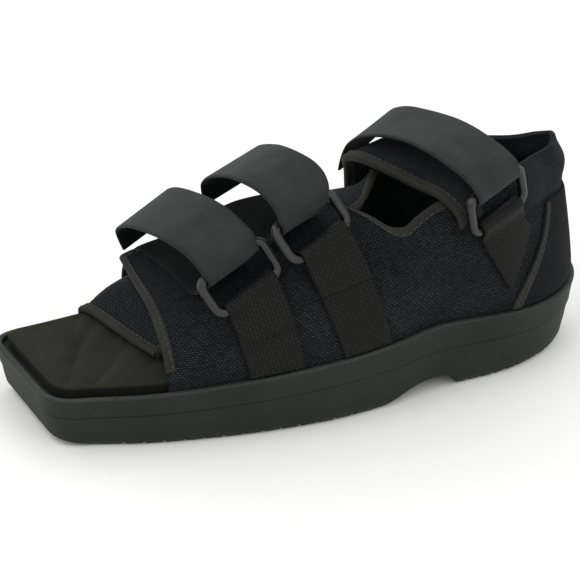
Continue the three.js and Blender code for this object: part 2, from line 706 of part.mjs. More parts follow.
function ringFrame(row) {
  const wall = nearWallAt(row.along * soleLength, row.height * collarHeight);
  const stand = fitGap + keeperThickness + fitGap + ringBar / 2 + row.rise;
  const bar = widthAxis(row.yaw, row.slope);
  const level = unit(cross([0, 0, 1], bar));
  const upright = unit(cross(bar, level));
  const side = add(
    upright.map((value) => value * Math.cos(radians(row.lean))),
    level,
    -Math.sin(radians(row.lean)),
  );
  const outward = unit(cross(side, bar));
  const low = add(wall.at, wall.out, stand);
  return { bar, side, outward, low, high: add(low, side, ringDepth) };
}

// Round bars swept along a closed path
function loopGeometry(path, radius, sides) {
  const count = path.length;
  const points = [];
  const faces = [];
  path.forEach((at, i) => {
    const tangent = unit(add(path[(i + 1) % count].at, path[(i + count - 1) % count].at, -1));
    const aside = unit(cross(tangent, at.plane));
    for (let k = 0; k < sides; k += 1) {
      const angle = (2 * Math.PI * k) / sides;
      points.push(add(add(at.at, aside, radius * Math.cos(angle)), at.plane, radius * Math.sin(angle)));
      const next = ((i + 1) % count) * sides;
      const l = (k + 1) % sides;
      faces.push([i * sides + k, i * sides + l, next + l], [i * sides + k, next + l, next + k]);
    }
  });
  return meshGeometry(points, faces);
}

function ringGeometry(frame) {
  const corner = ringBar;
  const centre = add(frame.low, frame.side, ringDepth / 2);
  const path = [];
  const place = (along, up) => {
    path.push({ at: add(add(centre, frame.bar, along), frame.side, up), plane: frame.outward });
  };
  const corners = [[1, 1], [-1, 1], [-1, -1], [1, -1]];
  corners.forEach(([a, b], quarter) => {
    const turns = 4;
    for (let i = 0; i <= turns; i += 1) {
      const angle = (Math.PI / 2) * (quarter + i / turns);
      place(
        a * (ringLength / 2 - corner) + corner * Math.cos(angle),
        b * (ringDepth / 2 - corner) + corner * Math.sin(angle),
      );
    }
  });
  return loopGeometry(path, ringBar / 2, 8);
}

// A webbing from stations that give its middle, the direction of its width and its thickness direction.
// A station may give its own places across the band, and the direction that its outer face looks in.
function webbingGeometry(stations, width, thickness, columns = 3) {
  const outer = [];
  const inner = [];
  stations.forEach((station, i) => {
    const before = stations[Math.max(i - 1, 0)].at;
    const after = stations[Math.min(i + 1, stations.length - 1)].at;
    const face = station.face ?? unit(cross(station.wide, add(after, before, -1)));
    const outerRow = [];
    const innerRow = [];
    for (let k = 0; k < columns; k += 1) {
      const share = k / (columns - 1) - 0.5;
      const middle = station.across ? station.across(share) : add(station.at, station.wide, share * width);
      outerRow.push(add(middle, face, thickness / 2));
      innerRow.push(add(middle, face, -thickness / 2));
    }
    outer.push(outerRow);
    inner.push(innerRow);
  });
  return sheetGeometry(outer, inner);
}

// The top of the outer front flap under a point seen from above, or null past its free edge
function flapTop(x, y) {
  let low = upperStart;
  let high = placeOf({ side: 'near', along: -0.13 });
  let found = null;
  for (let step = 0; step < 22; step += 1) {
    const t = (low + high) / 2;
    const profile = profileAt(t);
    const inward = (y - profile.foot[1]) / profile.direction[1];
    found = { profile, inward };
    if (profile.foot[0] + profile.direction[0] * inward > x) low = t;
    else high = t;
  }
  const { points } = found.profile;
  const last = points[points.length - 1];
  if (found.inward > last[0]) return null;
  let i = 1;
  while (i < points.length - 2 && points[i + 1][0] < found.inward) i += 1;
  const share = clamp((found.inward - points[i][0]) / (points[i + 1][0] - points[i][0]), 0, 1);
  return lerp(points[i][1], points[i + 1][1], share);
}

// The far wall's outer skin at a place along the shoe and a height
function farWallAt(x, z) {
  let low = 0.5;
  let high = 0.999;
  let found = null;
  for (let step = 0; step < 24; step += 1) {
    const t = (low + high) / 2;
    found = wallAtHeight(t, z);
    if (found.at[0] < x) low = t;
    else high = t;
  }
  return found;
}

// Rows between a table's rows, on a smooth curve
function smoothRows(rows, parts) {
  const result = [];
  const keys = Object.keys(rows[0]);
  for (let i = 0; i < rows.length - 1; i += 1) {
    const four = [rows[Math.max(i - 1, 0)], rows[i], rows[i + 1], rows[Math.min(i + 2, rows.length - 1)]];
    for (let j = 0; j < parts; j += 1) {
      const s = j / parts;
      const row = {};
      keys.forEach((key) => {
        const [a, b, c, d] = four.map((item) => item[key]);
        const bend = (2 * a - 5 * b + 4 * c - d) * s * s + (3 * b - a - 3 * c + d) * s ** 3;
        row[key] = 0.5 * (2 * b + (c - a) * s + bend);
      });
      result.push(row);
    }
  }
  result.push(rows[rows.length - 1]);
  return result;
}

// Where the outer flap's free edge lies on the far side
function flapEdge(x) {
  const step = 0.5;
  let y = 0;
  while (flapTop(x, y - step) !== null && y > -ballWidth / 2) y -= step;
  return y;
}

const layerLift = fitGap + strapThickness / 2 + 2.0;
const rimClear = 1.2;

// The strap's hidden lower layer, from the far rim over the outer flap to its ring
function lowerLayer(frame, farX, wide) {
  const stations = [];
  const wallSteps = 5;
  const overSteps = 8;
  const at = (x, share) => x + share * strapWidth * wide[0];
  for (let i = 0; i < wallSteps; i += 1) {
    const rise = i / wallSteps;
    const across = (share) => {
      const x = at(farX, share);
      const shoulder = (flapTop(x, flapEdge(x)) ?? crownLine(x)) - 1.5 * layerLift;
      const z = lerp(rimTop(x) + rimClear, shoulder, rise);
      const wall = farWallAt(x, z);
      const y = Math.min(wall.at[1] - layerLift, (flapEdge(x) - 2 * layerLift) * rise - (1 - rise) * ballWidth);
      return [x, i === 0 ? wall.at[1] - layerLift : Math.max(y, wall.at[1] - 4 * layerLift), z];
    };
    stations.push({ at: across(0), wide, face: [0, -1, 0], across });
  }
  for (let i = 0; i < overSteps; i += 1) {
    const progress = i / overSteps;
    const across = (share) => {
      const edgeX = at(farX, share);
      const x = lerp(edgeX, at(frame.high[0], share), progress);
      const y = lerp(flapEdge(edgeX), frame.high[1] - ringBar + share * strapWidth * wide[1], progress);
      return [x, y, (flapTop(x, y) ?? crownLine(x)) + layerLift];
    };
    stations.push({ at: across(0), wide, face: [0, 0, 1], across });
  }
  return stations;
}

// A strap: over the flap, round the ring's top bar and back to the far side in an open arch
function strapGeometry(frame, archRows, hasLower) {
  const top = frame.high;
  const turn = ringBar / 2 + fitGap + strapThickness / 2;
  const end = archRows[archRows.length - 1];
  const wide = widthAxis(end.yaw, archRows[0].slope);
  const stations = hasLower ? lowerLayer(frame, top[0] + (end.forward - 0.03) * ballWidth, wide) : [];
  const wrapSteps = 7;
  const wrapStart = hasLower ? 0.36 : 0.1;
  for (let i = 0; i <= wrapSteps; i += 1) {
    const angle = Math.PI * lerp(wrapStart, 1, i / wrapSteps);
    const at = add(add(top, frame.outward, -turn * Math.cos(angle)), frame.side, -turn * Math.sin(angle));
    stations.push({ at, wide: frame.bar.map((value) => value * bunched) });
  }
  smoothRows(archRows, 2).forEach((row) => {
    const at = add(top, [row.forward, -row.across, row.rise], ballWidth);
    stations.push({ at, wide: widthAxis(row.yaw, row.slope) });
  });
  return webbingGeometry(stations, strapWidth, strapThickness);
}

// Keepers' feet: places of the rear and front corners along the shoe, and their rise above the rim.
// hang: how far below the ring's bar the band leaves the wall, in radii of its turn round the bar.
const keeperRows = [
  { rear: 0.091, rearUp: 0, front: 0.182, frontUp: 0, hang: 1.6 },
  { rear: -0.064, rearUp: 0, front: 0.024, frontUp: 0, hang: 3.0 },
  { rear: -0.338, rearUp: 0.375, front: -0.296, frontUp: 0.095, hang: 1.6 },
];

// A keeper band: from the rim up the near wall, round the ring's lower bar and down over itself
function keeperGeometry(frame, foot) {
  const stations = [];
  const turn = ringBar / 2 + fitGap + keeperThickness / 2;
  const lift = fitGap + keeperThickness / 2 + 0.25;
  const wallSteps = 8;
  const low = frame.low;
  const approach = add(low, frame.side, -turn * foot.hang);
  const wallPlace = (rise, share, extra) => {
    const footX = lerp(foot.rear, foot.front, share + 0.5) * soleLength;
    const x = lerp(footX, approach[0] + share * keeperWidth * frame.bar[0], rise);
    const from = rimTop(x) + rimClear + lerp(foot.rearUp, foot.frontUp, share + 0.5) * collarHeight;
    const to = approach[2] + share * keeperWidth * frame.bar[2];
    const wall = nearWallAt(x, lerp(from, to, rise));
    return { at: add(wall.at, wall.out, lift + extra), out: wall.out };
  };
  for (let i = 0; i < wallSteps; i += 1) {
    const rise = i / (wallSteps - 1);
    const across = (share) => wallPlace(rise, share, keeperEase * rise).at;
    stations.push({ at: across(0), wide: frame.bar, face: wallPlace(rise, 0, 0).out, across });
  }
  const wrapSteps = 8;
  for (let i = 0; i <= wrapSteps; i += 1) {
    const angle = Math.PI * (0.05 + (1.15 * i) / wrapSteps);
    const at = add(add(low, frame.outward, -turn * Math.cos(angle)), frame.side, turn * Math.sin(angle));
    stations.push({ at, wide: frame.bar, face: unit(add(low, at, -1)) });
  }
  const back = keeperThickness + fitGap;
  for (let i = 0; i < 3; i += 1) {
    const rise = 1 - ((i + 0.6) * turnBack) / 2.6 / (low[2] - rimHeight);
    const across = (share) => wallPlace(rise, share, back + keeperEase + (2 - i) * 0.4).at;
    stations.push({ at: across(0), wide: frame.bar, face: wallPlace(rise, 0, 0).out.map((v) => -v), across });
  }
  return webbingGeometry(stations, keeperWidth, keeperThickness);
}

// Counter: an overlay round the heel with a raised tape on its two front edges
function counterGeometry() {
  const outer = [];
  const inner = [];
  const startFoot = 0.390;
  const startTop = 0.428;
  const columns = 22;
  const levels = 7;
  const tapeShare = 0.035;
  const shares = [0, tapeShare / 2, tapeShare, tapeShare + 0.006];
  for (let i = 1; i < columns; i += 1) shares.push(lerp(tapeShare + 0.006, 1 - tapeShare - 0.006, i / columns));
  shares.push(1 - tapeShare - 0.006, 1 - tapeShare, 1 - tapeShare / 2, 1);
  shares.forEach((share) => {
    const outerColumn = [];
    const innerColumn = [];
    const taped = share <= tapeShare || share >= 1 - tapeShare;
    for (let j = 0; j <= levels; j += 1) {
      const rise = j / levels;
      const start = lerp(startFoot, startTop, rise ** 1.2);
      const t = lerp(start, 1 - start, share);
      const z = lerp(rimTop(rimEdge(t)[0]) + rimClear, counterTop, rise);
      const { at, out } = wallAtHeight(t, z);
      const swell = collarSwell(t, (crownLine(at[0]) - z) * 1.02);
      outerColumn.push(add(at, out, fitGap + counterThickness + swell + (taped ? counterTapeStep : 0)));
      innerColumn.push(add(at, out, fitGap + swell));
    }
    outer.push(outerColumn);
    inner.push(innerColumn);
  });
  return sheetGeometry(outer, inner);
}

// Ankle flap: its lower and upper edges from the far side to the near ring, as shares of the ball width from
// the ankle's middle and of the collar height
const flapRows = [
  { lowX: 0.110, lowY: -0.408, lowZ: 0.640, highX: -0.290, highY: -0.425, highZ: 0.740 },
  { lowX: 0.130, lowY: -0.385, lowZ: 0.780, highX: -0.260, highY: -0.395, highZ: 0.880 },
  { lowX: 0.170, lowY: -0.320, lowZ: 0.880, highX: -0.230, highY: -0.330, highZ: 0.985 },
  { lowX: 0.165, lowY: -0.170, lowZ: 0.935, highX: -0.235, highY: -0.180, highZ: 1.030 },
  { lowX: 0.120, lowY: 0.010, lowZ: 0.945, highX: -0.270, highY: 0.000, highZ: 1.045 },
  { lowX: 0.070, lowY: 0.170, lowZ: 0.940, highX: -0.290, highY: 0.150, highZ: 1.050 },
  { lowX: 0.020, lowY: 0.332, lowZ: 0.940, highX: -0.235, highY: 0.317, highZ: 1.045 },
  { lowX: -0.030, lowY: 0.416, lowZ: 0.885, highX: -0.150, highY: 0.408, highZ: 0.940 },
  { lowX: -0.045, lowY: 0.440, lowZ: 0.825, highX: -0.150, highY: 0.442, highZ: 0.880 },
];
const ankleX = -52;

function ankleFlapGeometry() {
  const stations = smoothRows(flapRows, 2).map((row) => {
    const low = [ankleX + row.lowX * ballWidth, row.lowY * ballWidth, row.lowZ * collarHeight];
    const high = [ankleX + row.highX * ballWidth, row.highY * ballWidth, row.highZ * collarHeight];
    const across = (share) => low.map((value, k) => lerp(high[k], value, share + 0.5));
    return { at: across(0), wide: unit(add(low, high, -1)), across };
  });
  return webbingGeometry(stations, strapWidth, flapThickness, 5);
}

const group = new THREE.Group();

// The same body with its faces turned outwards
function facedOut(geometry) {
  const place = geometry.getAttribute('position');
  const index = Array.from(geometry.getIndex().array);
  const corner = (i) => [place.getX(index[i]), place.getY(index[i]), place.getZ(index[i])];
  let volume = 0;
  for (let i = 0; i < index.length; i += 3) volume += dot(corner(i), cross(corner(i + 1), corner(i + 2)));
  if (volume < 0) geometry.setIndex(index.reverse());
  return geometry;
}

function addPart(name, body, color, roughness, metalness = 0) {
  const geometry = facedOut(body);
  geometry.computeVertexNormals();
  const mesh = new THREE.Mesh(geometry, new THREE.MeshStandardMaterial({ color, roughness, metalness }));
  mesh.name = name;
  group.add(mesh);
}

addPart('sole', soleGeometry(), 0x2c302d, 0.75);
addPart('insole', insoleGeometry(), 0x34362b, 0.9);
addPart('upper', upperGeometry(), 0x20262a, 0.85);
addPart('heel_counter', counterGeometry(), 0x1b1e1f, 0.7);
addPart('ankle_flap', ankleFlapGeometry(), 0x1e2224, 0.9);

ringRows.forEach((row, i) => {
  const frame = ringFrame(row);
  addPart(row.name, ringGeometry(frame), 0x1d1e1c, 0.35);
  addPart(`keeper_${i + 1}`, keeperGeometry(frame, keeperRows[i]), 0x1d1f1e, 0.85);
  addPart(`strap_${i + 1}`, strapGeometry(frame, archRowsByStrap[i], i < 2), 0x3a3d3b, 0.8);
});

// The origin lies on the floor under the middle of the shoe's box
const middle = new THREE.Box3().setFromObject(group).getCenter(new THREE.Vector3());
group.position.set(-middle.x, -middle.y, 0);

export default group;
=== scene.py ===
"""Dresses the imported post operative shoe: its soft parts and sole are rebuilt finely, in the frame's own place."""

import json
import logging
import math
from dataclasses import dataclass, field
from enum import Enum
from functools import lru_cache
from typing import Any, Callable, Optional, Sequence

import bpy
import numpy as np
from mathutils import Matrix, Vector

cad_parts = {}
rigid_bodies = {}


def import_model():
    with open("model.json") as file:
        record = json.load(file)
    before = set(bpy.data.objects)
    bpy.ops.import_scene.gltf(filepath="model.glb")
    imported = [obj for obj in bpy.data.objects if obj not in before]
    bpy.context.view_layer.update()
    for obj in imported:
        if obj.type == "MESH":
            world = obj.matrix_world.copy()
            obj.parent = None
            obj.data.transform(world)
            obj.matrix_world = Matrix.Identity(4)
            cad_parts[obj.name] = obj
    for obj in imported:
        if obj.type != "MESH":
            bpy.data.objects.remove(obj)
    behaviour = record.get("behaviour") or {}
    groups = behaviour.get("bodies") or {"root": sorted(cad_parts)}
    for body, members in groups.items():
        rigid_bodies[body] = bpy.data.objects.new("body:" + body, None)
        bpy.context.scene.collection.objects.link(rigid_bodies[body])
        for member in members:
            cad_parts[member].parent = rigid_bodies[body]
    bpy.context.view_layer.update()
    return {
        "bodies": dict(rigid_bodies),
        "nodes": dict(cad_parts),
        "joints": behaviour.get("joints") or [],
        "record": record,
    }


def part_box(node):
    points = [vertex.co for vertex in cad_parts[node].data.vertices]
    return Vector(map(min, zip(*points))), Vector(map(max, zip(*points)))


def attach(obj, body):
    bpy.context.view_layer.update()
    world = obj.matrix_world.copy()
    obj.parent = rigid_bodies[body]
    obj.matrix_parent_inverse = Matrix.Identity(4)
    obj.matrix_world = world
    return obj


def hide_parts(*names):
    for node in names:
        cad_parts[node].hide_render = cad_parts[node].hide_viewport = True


LOG = logging.getLogger("post_operative_shoe")
MM = 0.001
CLOTH = "cloth"


# Numbers and small vector sums


def linear(hex_colour: str) -> tuple[float, float, float, float]:
    """Turns an sRGB hex colour into linear RGBA.

    Args:
        hex_colour: A colour such as "#3c403e".

    Returns:
        The colour in linear light, with full alpha.
    """
    channels = [int(hex_colour[i:i + 2], 16) / 255 for i in (1, 3, 5)]
    light = [c / 12.92 if c <= 0.04045 else ((c + 0.055) / 1.055) ** 2.4 for c in channels]
    return (light[0], light[1], light[2], 1.0)


def unit(vectors: np.ndarray) -> np.ndarray:
    """Scales vectors to length one.

    Args:
        vectors: Any array whose last axis holds vectors.

    Returns:
        The same directions with length one.
    """
    length = np.linalg.norm(vectors, axis=-1, keepdims=True)
    return vectors / np.maximum(length, 1e-9)


def mix(a: Any, b: Any, share: Any) -> Any:
    """Gives the value a share of the way from a to b.

    Args:
        a: First value.
        b: Second value.
        share: How far towards b, from 0 to 1.

    Returns:
        The value in between.
    """
    return a + (b - a) * share


def axis_of_width(yaw: Any, slope: Any) -> np.ndarray:
    """Gives the direction of a webbing's width, rear to front.

    Args:
        yaw: Turn about the vertical in degrees.
        slope: Rise towards the toe in degrees.

    Returns:
        Unit vectors, one for each pair of angles.
    """
    a, b = np.radians(yaw), np.radians(slope)
    return np.stack([np.cos(a) * np.cos(b), np.sin(a) * np.cos(b), np.sin(b)], axis=-1)


@dataclass(frozen=True)
class Table:
    """A short table with named columns, whose first column is the key."""

    columns: tuple[str, ...]
    rows: tuple[tuple[float, ...], ...]

    def column(self, name: str) -> np.ndarray:
        """Gives one column as an array."""
        place = self.columns.index(name)
        return np.array([row[place] for row in self.rows], float)

    def blend(self, name: str, key: Any) -> np.ndarray:
        """Gives a column's value between the rows, with no overshoot.

        Args:
            name: The column.
            key: One key or an array of keys.

        Returns:
            The values on a smooth curve through the rows.
        """
        keys, values, slopes = table_curve(self, name)
        at = np.clip(np.asarray(key, float), keys[0], keys[-1])
        i = np.clip(np.searchsorted(keys, at, side="left") - 1, 0, len(keys) - 2)
        span = keys[i + 1] - keys[i]
        s = (at - keys[i]) / span
        straight = values[i] * (1 + 2 * s) * (1 - s) ** 2 + values[i + 1] * s * s * (3 - 2 * s)
        return straight + span * (slopes[i] * s * (1 - s) ** 2 - slopes[i + 1] * s * s * (1 - s))


@lru_cache(maxsize=None)
def table_curve(table: Table, name: str) -> tuple[np.ndarray, np.ndarray, np.ndarray]:
    """Works out a column's slopes once.

    Args:
        table: The table.
        name: The column.

    Returns:
        Keys, values and slopes.
    """
    keys, values = table.column(table.columns[0]), table.column(name)
    steps = np.diff(values) / np.diff(keys)
    slopes = np.zeros(len(keys))
    slopes[0], slopes[-1] = steps[0], steps[-1]
    before, after = steps[:-1], steps[1:]
    same = before * after > 0
    slopes[1:-1][same] = 2 * before[same] * after[same] / (before[same] + after[same])
    return keys, values, slopes


def smooth_rows(rows: np.ndarray, parts: int) -> np.ndarray:
    """Adds rows between a table's rows, on a smooth curve.

    Args:
        rows: The table as an array.
        parts: New rows for each old one.

    Returns:
        The finer table.
    """
    padded = np.vstack([rows[:1], rows, rows[-1:]])
    result = []
    for i in range(len(rows) - 1):
        a, b, c, d = padded[i:i + 4]
        for s in np.arange(parts) / parts:
            bend = (2 * a - 5 * b + 4 * c - d) * s * s + (3 * b - a - 3 * c + d) * s ** 3
            result.append(0.5 * (2 * b + (c - a) * s + bend))
    result.append(rows[-1])
    return np.array(result)


# The last: the form that the sole and the upper are made on


class Side(Enum):
    """The two long sides of the shoe."""

    NEAR = "near"
    FAR = "far"


@dataclass
class Profiles:
    """Sections through the upper's wall at a number of places round the shoe."""

    foot: np.ndarray
    direction: np.ndarray
    inward: np.ndarray
    height: np.ndarray
    lengths: np.ndarray

    @property
    def total(self) -> np.ndarray:
        """Gives each section's whole length."""
        return self.lengths[:, -1]

    def point(self, distance: np.ndarray) -> np.ndarray:
        """Gives the points at a distance along each section.

        Args:
            distance: Millimetres from each section's foot.

        Returns:
            One point for each section.
        """
        at = np.clip(distance, 0, self.total)
        i = np.clip((self.lengths <= at[:, None]).sum(1) - 1, 0, self.lengths.shape[1] - 2)
        rows = np.arange(len(at))
        span = self.lengths[rows, i + 1] - self.lengths[rows, i]
        share = np.clip((at - self.lengths[rows, i]) / np.maximum(span, 1e-9), 0, 1)
        inward = mix(self.inward[rows, i], self.inward[rows, i + 1], share)
        z = mix(self.height[rows, i], self.height[rows, i + 1], share)
        plan = self.foot + self.direction * inward[:, None]
        return np.column_stack([plan, z])

    def distance_at(self, z: np.ndarray) -> np.ndarray:
        """Gives how far along each section a height is reached.

        Args:
            z: Heights above the floor in millimetres.

        Returns:
            Distances from each section's foot.
        """
        reached = self.height[:, 1:] >= z[:, None]
        i = np.where(reached.any(1), reached.argmax(1), self.height.shape[1] - 2)
        rows = np.arange(len(z))
        rise = self.height[rows, i + 1] - self.height[rows, i]
        share = np.clip((z - self.height[rows, i]) / np.where(abs(rise) < 1e-9, 1e-9, rise), 0, 1)
        return mix(self.lengths[rows, i], self.lengths[rows, i + 1], share)


OUTLINE = Table(("along", "near", "far"), (
    (-0.243, 0.457, 0.372), (-0.172, 0.465, 0.382), (-0.068, 0.523, 0.410), (0.034, 0.544, 0.433),
    (0.139, 0.526, 0.452), (0.240, 0.482, 0.447), (0.345, 0.414, 0.425), (0.432, 0.329, 0.411),
    (0.520, 0.262, 0.405),
))
RIM = Table(("along", "height"), (
    (-0.500, 0.931), (-0.434, 0.905), (-0.368, 0.911), (-0.270, 0.965), (-0.172, 1.000),
    (0.000, 0.926), (0.172, 0.840), (0.338, 0.761), (0.520, 0.710),
))
CROWN = Table(("along", "height"), (
    (-0.500, 1.000), (-0.450, 0.998), (-0.400, 0.982), (-0.300, 0.970), (-0.240, 0.960),
    (-0.170, 0.912), (-0.134, 0.900), (-0.036, 0.898), (0.000, 0.880), (0.068, 0.807),
    (0.137, 0.725), (0.206, 0.645), (0.260, 0.600), (0.293, 0.552), (0.314, 0.497),
    (0.334, 0.428), (0.370, 0.400),
))
WALL_COLUMNS = ("along", "reach", "edge", "power", "lean", "fall", "sink", "slant")
NEAR_WALL = (
    (0.311, 0.354, 0.763, 1.5, 0, -0.02, 0, 0.18), (0.291, 0.363, 0.773, 1.9, 0.01, -0.005, 0, 0.18),
    (0.27, 0.382, 0.782, 2.2, 0.02, 0.01, 0, 0.17), (0.236, 0.41, 0.8, 2.3, 0.02, 0.025, 0, 0.15),
    (0.186, 0.438, 0.829, 2.4, 0.03, 0.04, 0, 0.13), (0.118, 0.456, 0.847, 2.3, 0.03, 0.05, 0, 0.1),
    (0.051, 0.466, 0.76, 2.2, 0.03, 0.04, 0, 0.08), (0, 0.466, 0.58, 2.2, 0.03, 0.01, 0, 0.05),
    (-0.034, 0.456, 0.42, 2.25, 0.03, 0, 0.15, 0.03), (-0.054, 0.447, 0.29, 2.3, 0.02, 0, 0.35, 0.01),
    (-0.074, 0.438, 0.18, 2.4, 0.02, 0, 0.85, 0), (-0.095, 0.428, 0.112, 2.5, 0.02, 0, 1.45, 0),
    (-0.115, 0.428, 0.09, 2.6, 0.02, 0, 1.55, 0), (-0.134, 0.428, 0.09, 2.8, 0.02, 0, 0.9, 0),
    (-0.169, 0.428, 0.094, 3, 0.02, 0, 0.1, 0), (-0.22, 0.428, 0.108, 3, 0.02, 0, 0, 0),
)
HEEL_WALL = (
    (0.11, 0.428, 0.16, 2.3, 0.02, 0, 0, 0), (0.222, 0.41, 0.168, 1.6, 0.01, 0, 0, 0),
    (0.361, 0.38, 0.122, 1.25, 0, 0, 0, 0), (0.5, 0.372, 0.108, 1.15, 0, 0, -0.1, 0),
    (0.639, 0.38, 0.122, 1.25, 0, 0, 0.2, 0), (0.778, 0.39, 0.15, 1.6, 0.01, 0, 0.4, 0),
    (0.89, 0.4, 0.13, 2.3, 0.02, 0, 0.3, 0),
)
FAR_WALL = (
    (-0.23, 0.41, 0.108, 3, 0.02, 0, 0.2, 0), (-0.182, 0.41, 0.12, 2.9, 0.02, 0, 0.2, 0),
    (-0.15, 0.41, 0.19, 2.6, 0.02, 0, 0.5, 0), (-0.122, 0.41, 0.33, 2.4, 0.02, 0, 0.9, 0),
    (-0.091, 0.41, 0.47, 2.3, 0.02, 0.01, 1, -0.01), (-0.051, 0.419, 0.53, 2.25, 0.02, 0.02, 1, -0.03),
    (0, 0.419, 0.56, 2.2, 0.02, 0.03, 1, -0.05), (0.051, 0.428, 0.58, 2.2, 0.02, 0.035, 1, -0.08),
    (0.118, 0.428, 0.6, 2.3, 0.02, 0.035, 1, -0.1), (0.186, 0.419, 0.61, 2.4, 0.02, 0.03, 1, -0.13),
    (0.253, 0.391, 0.62, 2.3, 0.01, 0.02, 1.1, -0.16), (0.304, 0.317, 0.63, 2.2, 0.01, 0.005, 1.5, -0.17),
    (0.363, 0.15, 0.64, 2, 0, -0.02, 1.5, -0.18),
)


